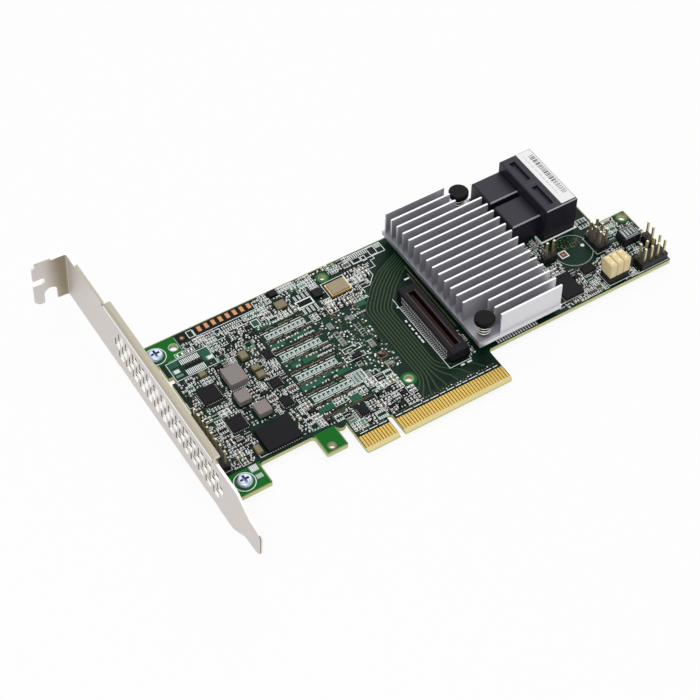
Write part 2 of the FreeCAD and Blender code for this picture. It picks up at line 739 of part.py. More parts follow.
save("flash_memory", chip(flash_chip))
save("power_chips", [chip(c) for c in power_chips])
save("driver_chips", [chip(c) for c in driver_chips])
save("logic_chip", chip(from_far_edge(logic_chip)))
save("sensor_chip", chip(from_far_edge(sensor_chip)))
save("shielded_block", chip(from_far_edge(block_part)))
for number, spec in enumerate(inductors, 1):
    save("inductor_%d" % number, inductor(spec))
base, lid = oscillator_can()
save("oscillator_base", base)
save("oscillator_lid", lid)
save("tan_capacitors", [chip(c) for c in tan_capacitors])
for number in range(memory_count):
    place = (memory_x0 + number * memory_pitch, memory_y, memory_w, memory_len, memory_t)
    save("memory_chip_%d" % (number + 1), chip(place, -board_t, True))
save("decoupling_front", decoupling(False))
save("decoupling_back", decoupling(True))
for name, spec in all_headers().items():
    save(name + "_body", header_body(spec))
    save(name + "_pins", header_pins(spec))
save("jumper_caps", jumper_caps())
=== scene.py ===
"""Looks of a storage controller card, built over its CAD frame."""
from __future__ import annotations

import json
import logging
import math
import random
from dataclasses import dataclass, field
from enum import Enum
from typing import Any, Iterable, Optional, Sequence, Union

import bpy
from mathutils import Matrix, Vector

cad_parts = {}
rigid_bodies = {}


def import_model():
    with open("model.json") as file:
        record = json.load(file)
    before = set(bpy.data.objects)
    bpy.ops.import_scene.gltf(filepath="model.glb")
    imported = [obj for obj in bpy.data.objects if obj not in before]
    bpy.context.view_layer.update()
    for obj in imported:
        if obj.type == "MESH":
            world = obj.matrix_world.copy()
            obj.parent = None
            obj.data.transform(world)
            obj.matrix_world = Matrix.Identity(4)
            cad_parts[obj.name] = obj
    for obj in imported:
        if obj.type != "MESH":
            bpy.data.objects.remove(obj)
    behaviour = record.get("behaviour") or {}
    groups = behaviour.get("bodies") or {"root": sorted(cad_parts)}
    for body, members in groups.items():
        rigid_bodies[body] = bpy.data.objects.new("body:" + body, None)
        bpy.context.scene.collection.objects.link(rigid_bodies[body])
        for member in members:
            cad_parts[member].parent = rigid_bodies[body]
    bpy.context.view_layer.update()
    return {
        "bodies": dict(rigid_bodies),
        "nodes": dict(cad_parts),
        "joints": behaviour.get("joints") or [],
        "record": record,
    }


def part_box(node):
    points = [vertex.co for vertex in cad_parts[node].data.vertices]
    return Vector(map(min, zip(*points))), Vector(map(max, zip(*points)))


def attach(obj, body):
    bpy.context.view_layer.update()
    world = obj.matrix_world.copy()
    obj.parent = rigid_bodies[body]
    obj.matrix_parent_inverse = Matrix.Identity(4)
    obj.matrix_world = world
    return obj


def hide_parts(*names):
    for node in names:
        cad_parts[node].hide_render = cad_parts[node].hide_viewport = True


LOG = logging.getLogger("controller_card")
Point = tuple[float, float]
Triple = tuple[float, float, float]
Colour = Triple
Rect = tuple[float, float, float, float]

# Metres in a millimetre, and depths of the bumps in metres.
MM = 0.001
GRAIN_DEPTH = 0.00003
LINE_DEPTH = 0.00001

# Thickness of the board in millimetres, and the sharpest bend that a mitred corner follows.
BOARD_T = 1.57
SHARPEST_MITRE = 0.35

# Widths of the printed lines in millimetres.
HAIR = 0.15
THIN = 0.18
LINE = 0.2
BROAD = 0.22
HEAVY = 0.25

# Middles of the screws, the round holes and the test spot, and the rings' radii, in millimetres.
SCREWS: tuple[Point, ...] = ((-48.2, 9.5), (-48.2, 64.1))
SCREW_RING: Point = (3.15, 3.4)
HOLE_SCREW: Point = (-41.9, 64.5)
HOLE_TOP: Point = (11.4, 64.8)
HOLE_LOW: Point = (12.5, 16.4)
HOLE_FAR: Point = (107.1, 35.8)
HOLE_HOOK: Point = (-20.1, 7.3)
TEST_SPOT: Point = (10.75, 28.6)

# Middle, width along X and width along Y of the flat parts, in millimetres.
CHIPS: tuple[Rect, ...] = (
    (-41.5, 42.5, 6.2, 6.2), (-39.8, 28.8, 5.3, 5.3), (-22.4, 36.0, 3.6, 3.6),
    (-23.1, 28.0, 3.4, 3.4), (-18.9, 46.4, 2.8, 3.0), (-5.6, 13.2, 3.0, 3.4))
FAR_CHIPS: tuple[Rect, ...] = ((74.2, 21.0, 7.0, 9.6), (84.3, 23.4, 4.4, 3.2))
FLASH: Rect = (-31.4, 19.1, 11.6, 9.2)
TAN_PARTS: tuple[Rect, ...] = (
    (-25.6, 50.0, 2.4, 3.0), (-24.7, 43.7, 2.6, 1.9), (-24.7, 40.8, 2.6, 2.2),
    (-39.4, 17.0, 1.9, 3.0), (-39.6, 50.2, 2.2, 1.9))

# The six pin headers, without the ending of their CAD nodes.
HEADERS = ("jumper_header", "service_header", "battery_header", "fan_header", "lamp_header",
           "cluster_header")


class Side(Enum):
    """Which face of the board a detail lies on."""

    FRONT = 1
    BACK = -1


class Axis(Enum):
    """Direction of a chip part's long side."""

    X = 0
    Y = 1


class Level(Enum):
    """Height in millimetres of each flat layer over the board."""

    TRACE_GROUND = 0.01
    GROUND = 0.012
    PLANE = 0.014
    PATCH = 0.015
    OVER_PLANE = 0.016
    COPPER = 0.02
    DARK_BLOCK = 0.025
    COVER = 0.03
    PAD = 0.04
    SILK = 0.055
    TOP_SILK = 0.07


@dataclass(frozen=True)
class Value:
    """A number in a node tree, with ordinary arithmetic."""

    graph: "Graph"
    socket: Any

    def _op(self, kind: str, *others: Union["Value", float], swap: bool = False) -> "Value":
        """Joins this number to others with one Math node.

        Args:
            kind: the Math node's operation.
            others: the other operands.
            swap: put this number second.

        Returns:
            The result.
        """
        operands = [self, *others]
        if swap:
            operands.reverse()
        return self.graph.math(kind, *operands)

    def __add__(self, other: Union["Value", float]) -> "Value":
        """Sum."""
        return self._op("ADD", other)

    def __radd__(self, other: float) -> "Value":
        """Sum with a plain number first."""
        return self._op("ADD", other, swap=True)

    def __sub__(self, other: Union["Value", float]) -> "Value":
        """Difference."""
        return self._op("SUBTRACT", other)

    def __rsub__(self, other: float) -> "Value":
        """Difference with a plain number first."""
        return self._op("SUBTRACT", other, swap=True)

    def __mul__(self, other: Union["Value", float]) -> "Value":
        """Product."""
        return self._op("MULTIPLY", other)

    def __rmul__(self, other: float) -> "Value":
        """Product with a plain number first."""
        return self._op("MULTIPLY", other, swap=True)

    def above(self, limit: float) -> "Value":
        """One where this number is over a limit.

        Args:
            limit: the limit.

        Returns:
            Zero or one.
        """
        return self._op("GREATER_THAN", limit)

    def most(self, other: Union["Value", float]) -> "Value":
        """Larger of two numbers.

        Args:
            other: the other number.

        Returns:
            The larger.
        """
        return self._op("MAXIMUM", other)

    def size(self) -> "Value":
        """Value without its sign.

        Returns:
            The absolute value.
        """
        return self._op("ABSOLUTE")


class Graph:
    """The nodes of one material or world and the few calls that build them."""

    def __init__(self, owner: Union[bpy.types.Material, bpy.types.World]) -> None:
        """Empties the owner's nodes and adds its output.

        Args:
            owner: the material or world.
        """
        self.owner = owner
        owner.use_nodes = True
        self.tree = owner.node_tree
        self.tree.nodes.clear()
        kind = "World" if isinstance(owner, bpy.types.World) else "Material"
        self.output = self.node("ShaderNodeOutput" + kind)

    def node(self, kind: str, settings: Optional[dict[str, Any]] = None,
             inputs: Optional[dict[Union[str, int], Any]] = None) -> Any:
        """Adds one node.

        Args:
            kind: the node's type.
            settings: its attributes.
            inputs: its sockets' values or links.

        Returns:
            The node.
        """
        made = self.tree.nodes.new(kind)
        for key, value in (settings or {}).items():
            setattr(made, key, value)
        for key, value in (inputs or {}).items():
            self.feed(made.inputs[key], value)
        return made

    def feed(self, socket: Any, value: Any) -> None:
        """Links a socket, or sets its number or colour.

        Args:
            socket: the input.
            value: a Value, an output socket, a number or a colour.
        """
        if isinstance(value, Value):
            self.tree.links.new(value.socket, socket)
        elif isinstance(value, bpy.types.NodeSocket):
            self.tree.links.new(value, socket)
        elif socket.type == "RGBA":
            socket.default_value = (*value[:3], 1.0)
        else:
            socket.default_value = value

    def math(self, kind: str, *operands: Union[Value, float]) -> Value:
        """Adds one Math node.

        Args:
            kind: the operation.
            operands: up to three numbers.

        Returns:
            The result.
        """
        made = self.node("ShaderNodeMath", {"operation": kind}, dict(enumerate(operands)))
        return Value(self, made.outputs[0])

    def mix(self, factor: Union[Value, float], first: Any, second: Any) -> Any:
        """Blends two colours.

        Args:
            factor: 0 is the first colour and 1 the second.
            first: a colour or a link.
            second: a colour or a link.

        Returns:
            The blended colour's socket.
        """
        made = self.node("ShaderNodeMix", {"data_type": "RGBA"}, {"Factor": factor})
        ins = [s for s in made.inputs if s.type == "RGBA"]
        self.feed(ins[0], first)
        self.feed(ins[1], second)
        return next(s for s in made.outputs if s.type == "RGBA")

    def place(self) -> Any:
        """Position on the object.

        Returns:
            The coordinate's socket.
        """
        return self.node("ShaderNodeTexCoord").outputs["Object"]

    def split(self, vector: Any) -> tuple[Value, Value, Value]:
        """Parts of a vector.

        Args:
            vector: a vector's socket.

        Returns:
            Its three numbers.
        """
        made = self.node("ShaderNodeSeparateXYZ", inputs={0: vector})
        return tuple(Value(self, s) for s in made.outputs)

    def facing(self, which: str = "Normal") -> tuple[Value, Value, Value]:
        """Direction that the surface faces.

        Args:
            which: the smooth normal, or "True Normal" for the flat one.

        Returns:
            Its three numbers.
        """
        return self.split(self.node("ShaderNodeNewGeometry").outputs[which])

    def within(self, x: Value, y: Value, cx: float, cy: float, radius: float) -> Value:
        """One inside an upright cylinder.

        Args:
            x: place along the board in metres.
            y: place across the board in metres.
            cx: the axis along the board in millimetres.
            cy: the axis across the board in millimetres.
            radius: the radius in millimetres.

        Returns:
            Zero or one.
        """
        dx, dy = x - cx * MM, y - cy * MM
        return ((dx * dx + dy * dy) * -1.0).above(-((radius * MM) ** 2))

    def any_of(self, areas: Sequence[Value]) -> Value:
        """Joins areas of zero or one.

        Args:
            areas: the areas.

        Returns:
            One where any of them is.
        """
        joined = areas[0]
        for area in areas[1:]:
            joined = joined.most(area)
        return joined

    def stretch(self, vector: Any, scale: Sequence[float]) -> Any:
        """Scales a vector part by part.

        Args:
            vector: a vector's socket.
            scale: three factors.

        Returns:
            The scaled vector's socket.
        """
        made = self.node("ShaderNodeVectorMath", {"operation": "MULTIPLY"},
                         {0: vector, 1: tuple(scale)})
        return made.outputs[0]

    def noise(self, vector: Any, scale: float, detail: float = 2.0) -> Value:
        """Soft noise between 0 and 1.

        Args:
            vector: where it is read.
            scale: its fineness.
            detail: its octaves.

        Returns:
            The noise.
        """
        made = self.node("ShaderNodeTexNoise", {},
                         {"Vector": vector, "Scale": scale, "Detail": detail})
        return Value(self, made.outputs[0])

    def ramp(self, value: Value, low: float, high: float, start: float, end: float) -> Value:
        """Maps a range smoothly on another.

        Args:
            value: the number.
            low: where the change starts.
            high: where it ends.
            start: the result at low.
            end: the result at high.

        Returns:
            The mapped number.
        """
        made = self.node("ShaderNodeMapRange", {"interpolation_type": "SMOOTHSTEP"},
                         {0: value, 1: low, 2: high, 3: start, 4: end})
        return Value(self, made.outputs[0])

    def bump(self, height: Value, distance: float, strength: float) -> Any:
        """Turns a height into a normal.

        Args:
            height: the height.
            distance: metres for a height of one.
            strength: how much of it shows.

        Returns:
            The normal's socket.
        """
        made = self.node("ShaderNodeBump", {},
                         {"Height": height, "Distance": distance, "Strength": strength})
        return made.outputs[0]

    def surface(self, colour: Any, rough: Any, metal: float = 0.0, normal: Any = None,
                extra: Optional[dict[str, Any]] = None) -> bpy.types.Material:
        """Ends the material with one principled shader.

        Args:
            colour: base colour or its link.
            rough: roughness or its link.
            metal: metallic share.
            normal: a normal's socket.
            extra: more inputs by name.

        Returns:
            The material.
        """
        inputs: dict[str, Any] = {"Base Color": colour, "Roughness": rough, "Metallic": metal}
        inputs.update(extra or {})
        if normal is not None:
            inputs["Normal"] = normal
        return self.end(self.node("ShaderNodeBsdfPrincipled", {}, inputs))

    def end(self, shader: Any) -> Any:
        """Links the last shader to the output.

        Args:
            shader: the shader's node.

        Returns:
            The material or world.
        """
        self.tree.links.new(shader.outputs[0], self.output.inputs[0])
        return self.owner


@dataclass(frozen=True)
class Plain:
    """An even finish with a little grain."""

    name: str
    colour: Colour
    rough: float = 0.5
    metal: float = 0.0
    vary: float = 0.12
    scale: float = 900.0
    grain: float = 0.0
    shine: float = 0.5

    def material(self) -> bpy.types.Material:
        """Builds it.

        Returns:
            The material.
        """
        graph = Graph(bpy.data.materials.new(self.name))
        cloud = graph.noise(graph.place(), self.scale)
        dark = tuple(c * (1.0 - self.vary) for c in self.colour)
        light = tuple(min(1.0, c * (1.0 + self.vary)) for c in self.colour)
        colour = graph.mix(cloud, dark, light)
        normal = graph.bump(cloud, GRAIN_DEPTH, self.grain) if self.grain else None
        extra = {"Specular IOR Level": self.shine}
        return graph.surface(colour, self.rough, self.metal, normal, extra)


@dataclass(frozen=True)
class FinMetal:
    """Milled aluminium; painted highlight on the tops, painted shade toward the fins' roots."""

    name: str
    # top is the painted highlight colour of the upward tops, root the painted shade at the roots.
    top: Colour = (0.74, 0.74, 0.76)
    face: Colour = (0.76, 0.755, 0.78)
    root: Colour = (0.38, 0.38, 0.42)
    root_z: float = 3.9
    top_z: float = 12.3
    # Fins in front of this Y are kept out of the painted shade.
    unshaded_fin_y: float = 14.3
    upward: float = 0.7
    drawn: float = 0.25
    rough: float = 0.42
    metal: float = 0.75

    def material(self) -> bpy.types.Material:
        """Builds it.

        Returns:
            The material.
        """
        graph = Graph(bpy.data.materials.new(self.name))
        place = graph.place()
        _, y, z = graph.split(place)
        lines = graph.noise(graph.stretch(place, (60.0, 5000.0, 5000.0)), 1.0, 3.0)
        # Painted shade: faces darken from the top height down to the roots, except on the nearest
        # fin.
        height = graph.ramp(z, self.root_z * MM, self.top_z * MM, 0.0, 1.0)
        height = height.most((y * -1.0).above(-self.unshaded_fin_y * MM))
        # Painted highlight colour on the upward tops.
        upward = graph.facing()[2].above(self.upward)
        shade = graph.mix(height, self.root, self.face)
        shade = graph.mix(upward * height, shade, self.top)
        shade = graph.mix(lines * self.drawn, shade, self.root)
        return graph.surface(shade, self.rough, self.metal, graph.bump(lines, LINE_DEPTH, 0.1))


@dataclass(frozen=True)
class SheetMetal:
    """Nickel-plated sheet: painted highlights on its edges, painted shade on flange, vents, tab."""

    name: str
    face: Colour = (0.72, 0.67, 0.65)
    # Painted highlight of the cut edges that face up or toward the front.
    edge: Colour = (0.97, 0.96, 0.94)
    # Painted shade of the flange's upward faces high on the bracket.
    flange: Colour = (0.46, 0.42, 0.33)
    # Painted shade that darkens the tab's forward side across its bend.
    under: Colour = (0.33, 0.28, 0.18)
    # Painted shade on the vent walls near the outer face.
    wall: Colour = (0.16, 0.13, 0.10)
    face_x: float = -58.6
    low_z: float = -1.39
    lean: float = 0.0612
    # How far behind the outer face the painted shade of the vent walls reaches.
    wall_shade_depth: float = 0.3
    flange_z: float = 16.3
    flange_y: float = 8.0
    under_y: float = 93.0
    bend_x: Point = (-66.5, -59.5)
    upward: float = 0.3
    sideways: float = 0.6
    drawn: float = 0.12
    rough: float = 0.5
    metal: float = 0.45

    def material(self) -> bpy.types.Material:
        """Builds it.

        Returns:
            The material.
        """
        graph = Graph(bpy.data.materials.new(self.name))
        place = graph.place()
        x, y, z = graph.split(place)
        _, facing_y, facing_z = graph.facing()
        lines = graph.noise(graph.stretch(place, (2600.0, 40.0, 2600.0)), 1.0, 3.0)
        upward = facing_z.above(self.upward)
        high = z.above(self.flange_z * MM) * y.above(self.flange_y * MM)
        # Painted highlight on the upward cut edges.
        shade = graph.mix(upward, self.face, self.edge)
        # Painted shade on the high flange's upward faces.
        shade = graph.mix(upward * high, shade, self.flange)
        low_side = (facing_y * -1.0).above(self.sideways)
        depth = x - self.face_x * MM - (z - self.low_z * MM) * self.lean
        # Painted highlight on the forward-facing cut edges.
        shade = graph.mix(low_side, shade, self.edge)
        # Painted shade on the forward-facing walls that lie near the outer face.
        shade = graph.mix(low_side * (depth * -1.0).above(-self.wall_shade_depth * MM), shade, self.wall)
        # Painted shade across the tab's bend.
        bend = graph.ramp(x, self.bend_x[0] * MM, self.bend_x[1] * MM, 0.0, 1.0)
        tab = low_side * y.above(self.under_y * MM)
        shade = graph.mix(tab, shade, graph.mix(bend, self.face, self.under))
        shade = graph.mix(lines * self.drawn, shade, self.flange)
        return graph.surface(shade, self.rough, self.metal, graph.bump(lines, LINE_DEPTH, 0.05))


@dataclass(frozen=True)
class ScrewMetal:
    """Blued screw metal with painted shade in the cross recess."""

    name: str
    colour: Colour = (0.42, 0.48, 0.60)
    # Painted shade of the cross recess.
    deep: Colour = (0.19, 0.22, 0.31)
    centres: tuple[Point, ...] = SCREWS
    recess_r: float = 1.56
    recess_z: float = 1.5
    rough: float = 0.24
    metal: float = 0.9

    def material(self) -> bpy.types.Material:
        """Builds it.

        Returns:
            The material.
        """
        graph = Graph(bpy.data.materials.new(self.name))
        x, y, z = graph.split(graph.place())
        # Painted shade where the cross recess lies.
        inside = graph.any_of([graph.within(x, y, *spot, self.recess_r) for spot in self.centres])
        low = (z * -1.0).above(-self.recess_z * MM)
        shade = graph.mix(inside * low, self.colour, self.deep)
        return graph.surface(shade, self.rough, self.metal)


@dataclass(frozen=True)
class Bevelled:
    """Black moulding whose bevelled edges catch the light."""

    name: str
    colour: Colour = (0.017, 0.015, 0.026)
    edge: Colour = (0.36, 0.36, 0.40)
    upward: float = 0.6
    sideways: float = 0.3
    grain: float = 0.15
    rough: float = 0.42
    shine: float = 0.25

    def material(self) -> bpy.types.Material:
        """Builds it.

        Returns:
            The material.
        """
        graph = Graph(bpy.data.materials.new(self.name))
        cloud = graph.noise(graph.place(), 1500.0)
        _, facing_y, facing_z = graph.facing("True Normal")
        bevel = facing_z.above(self.upward) * (facing_y * -1.0).above(self.sideways)
        shade = graph.mix(bevel, self.colour, self.edge)
        normal = graph.bump(cloud, GRAIN_DEPTH, self.grain)
        return graph.surface(shade, self.rough, 0.0, normal, {"Specular IOR Level": self.shine})


@dataclass(frozen=True)
class Paint:
    """Flat even paint of the printed marks."""

    name: str
    colour: Colour
    rough: float = 0.6

    def material(self) -> bpy.types.Material:
        """Builds it.

        Returns:
            The material.
        """
        return Graph(bpy.data.materials.new(self.name)).surface(self.colour, self.rough)


@dataclass(frozen=True)
class Mask:
    """Solder mask over copper: dark field, bright pours, and bare edges of the laminate."""

    name: str
    dark: Colour = (0.002, 0.012, 0.007)
    mid: Colour = (0.003, 0.024, 0.013)
    bright: Colour = (0.001, 0.135, 0.010)
    edge: Colour = (0.74, 0.76, 0.42)
    core: Colour = (0.56, 0.58, 0.27)
    ground: Colour = (0.17, 0.115, 0.030)
    tip: Colour = (0.78, 0.66, 0.33)
    tongue: Point = (13.3, 26.4)
    gilt_y: float = 5.85
    tip_y: float = 1.3
    pours: tuple[Rect, ...] = ((-57.0, 60.2, -40.2, 69.0), (-57.0, 5.0, -41.0, 13.7),
                               (-23.0, 5.0, -15.5, 13.3))
    blobs: tuple[Triple, ...] = ((*HOLE_TOP, 2.1), (*HOLE_LOW, 2.5), (*HOLE_FAR, 2.3))
    flat: float = 0.5
    rough: Point = (0.34, 0.7)
    shine: float = 0.1

    def material(self) -> bpy.types.Material:
        """Builds it.

        Returns:
            The material.
        """
        graph = Graph(bpy.data.materials.new(self.name))
        place = graph.place()
        x, y, z = graph.split(place)
        cover = graph.any_of([self._inside(x, y, rect) for rect in self.pours]
                             + [graph.within(x, y, *blob) for blob in self.blobs])
        cloud = graph.noise(place, 130.0, 3.0)
        tone = graph.mix(graph.ramp(cloud, 0.35, 0.7, 0.0, 1.0), self.dark, self.mid)
        tone = graph.mix(cover, tone, self.bright)
        over_x = ((x - self.tongue[0] * MM).size() * -1.0).above(-self.tongue[1] * MM)
        gilt = over_x * (y * -1.0).above(-self.gilt_y * MM)
        tip = over_x * (y * -1.0).above(-self.tip_y * MM)
        tone = graph.mix(gilt, tone, self.ground)
        tone = graph.mix(tip, tone, self.tip)
        wall = 1.0 - graph.facing()[2].size().above(self.flat)
        glass = graph.noise(graph.stretch(place, (300.0, 300.0, 5000.0)), 1.0)
        laminate = graph.mix(glass, self.core, self.edge)
        colour = graph.mix(wall, tone, laminate)
        rough = graph.ramp(wall, 0.0, 1.0, *self.rough)
        return graph.surface(colour, rough, 0.0, None, {"Specular IOR Level": self.shine})

    def _inside(self, x: Value, y: Value, rect: Rect) -> Value:
        """One inside a rectangle.

        Args:
            x: place along the board in metres.
            y: place across the board in metres.
            rect: the rectangle in millimetres.

        Returns:
            Zero or one.
        """
        x0, y0, x1, y1 = rect
        inside_x = ((x - (x0 + x1) / 2 * MM).size() - (x1 - x0) / 2 * MM) * -1.0
        inside_y = ((y - (y0 + y1) / 2 * MM).size() - (y1 - y0) / 2 * MM) * -1.0
        return inside_x.above(0.0) * inside_y.above(0.0)


@dataclass
class Palette:
    """Every finish of the card, by key."""

    book: dict[str, bpy.types.Material] = field(default_factory=dict)

    def build(self) -> "Palette":
        """Makes all the materials.

        Returns:
            Itself.
        """
        finishes = {
            "mask": Mask("solder_mask"),
            "trace": Plain("mask_over_copper", (0.026, 0.058, 0.021), 0.32, vary=0.2, shine=0.15),
            "trace_bright": Plain("mask_over_pour", (0.008, 0.150, 0.030), 0.34, shine=0.2),
            "field": Plain("mask_field", (0.003, 0.026, 0.014), 0.36, shine=0.1),
            "shade": Plain("mask_dark", (0.002, 0.006, 0.005), 0.4, shine=0.08),
            "deep": Plain("mask_between_traces", (0.002, 0.012, 0.006), 0.4, shine=0.08),
            "olive": Plain("mask_over_mesh", (0.020, 0.030, 0.012), 0.4, vary=0.4, scale=500.0,
                           shine=0.1),
            "jade": Plain("mask_over_plane", (0.004, 0.085, 0.042), 0.4, vary=0.3, scale=300.0,
                          shine=0.2),
            "pale": Plain("mask_over_pads", (0.10, 0.24, 0.17), 0.45, vary=0.3, scale=400.0,
                          shine=0.2),
            "rim_green": Plain("bare_laminate", (0.22, 0.25, 0.085), 0.6),
            "gold": Plain("gold_plate", (0.51, 0.345, 0.078), 0.34, 0.7, vary=0.06),
            "copper": Plain("bare_copper", (0.60, 0.26, 0.10), 0.42, 0.2),
            "brown": Plain("via_copper", (0.17, 0.075, 0.035), 0.5, 0.1),
            "umber": Plain("mask_over_brown", (0.045, 0.022, 0.016), 0.45, shine=0.2),
            "tin": Plain("tinned_pad", (0.72, 0.74, 0.73), 0.4, 0.1, vary=0.1),
            "solder": Plain("solder", (0.62, 0.62, 0.61), 0.3, 0.5, vary=0.15),
            "silk": Paint("silk_print", (0.90, 0.94, 0.93)),
            "silk_dim": Paint("silk_thin", (0.42, 0.50, 0.47)),
            "chip": Plain("chip_moulding", (0.009, 0.008, 0.010), 0.5, scale=2500.0, grain=0.2,
                          shine=0.1),
            "chip_brown": Plain("resistor_body", (0.005, 0.004, 0.004), 0.45, shine=0.15),
            "moulding": Bevelled("black_moulding"),
            "socket": Plain("socket_moulding", (0.007, 0.005, 0.009), 0.4, scale=1500.0, grain=0.15,
                            shine=0.12),
            "pin_black": Plain("pin_moulding", (0.005, 0.004, 0.005), 0.35, shine=0.08),
            # Painted highlight for the connector's top edge.
            "glint": Plain("moulding_edge_highlight", (0.40, 0.40, 0.44), 0.4),
            "header": Plain("header_moulding", (0.010, 0.008, 0.008), 0.45, shine=0.3),
            "tan": Plain("ceramic_tan", (0.20, 0.165, 0.090), 0.5),
            "cream_part": Plain("ceramic_pale", (0.42, 0.37, 0.26), 0.5),
            "grey_part": Plain("ceramic_grey", (0.22, 0.22, 0.21), 0.5),
            "rust": Plain("ceramic_brown", (0.11, 0.060, 0.030), 0.5),
            "ferrite": Plain("pressed_powder", (0.235, 0.205, 0.195), 0.6, scale=2200.0, vary=0.2,
                             grain=0.3),
            "sink": FinMetal("sink_metal"),
            "steel": SheetMetal("bracket_metal"),
            "screw": ScrewMetal("screw_metal"),
            "spring": Plain("spring_metal", (0.60, 0.58, 0.55), 0.22, 1.0),
            "lid": Plain("lid_metal", (0.27, 0.215, 0.14), 0.4, 0.3),
            "rim": Plain("gold_rim", (0.78, 0.55, 0.26), 0.3, 0.6),
            "cap": Plain("cap_moulding", (0.80, 0.65, 0.35), 0.5),
            "label": Plain("label_paper", (0.88, 0.88, 0.88), 0.6, vary=0.02),
            "print": Plain("label_print", (0.09, 0.09, 0.10), 0.6),
            "print_dim": Plain("label_print_pale", (0.52, 0.52, 0.53), 0.6),
            "wafer": Plain("wafer_moulding", (0.035, 0.03, 0.03), 0.5),
            "slot_brown": Plain("slot_lining", (0.026, 0.011, 0.007), 0.5, shine=0.1),
            "slot_dot": Plain("slot_contacts", (0.040, 0.019, 0.012), 0.4),
            "pad_grey": Plain("pad_filler", (0.30, 0.30, 0.30), 0.8),
            "pin": Plain("pin_plate", (0.60, 0.52, 0.31), 0.28, 0.8),
        }
        for name, finish in finishes.items():
            self.book[name] = finish.material()
        return self

    def __getitem__(self, key: str) -> bpy.types.Material:
        """One finish.

        Args:
            key: its name.

        Returns:
            The material.
        """
        return self.book[key]

    def dress(self, node: str, key: str) -> None:
        """Gives a CAD node its finish.

        Args:
            node: the node's name.
            key: the finish.
        """
        mesh = bpy.data.objects[node].data
        mesh.materials.clear()
        mesh.materials.append(self.book[key])


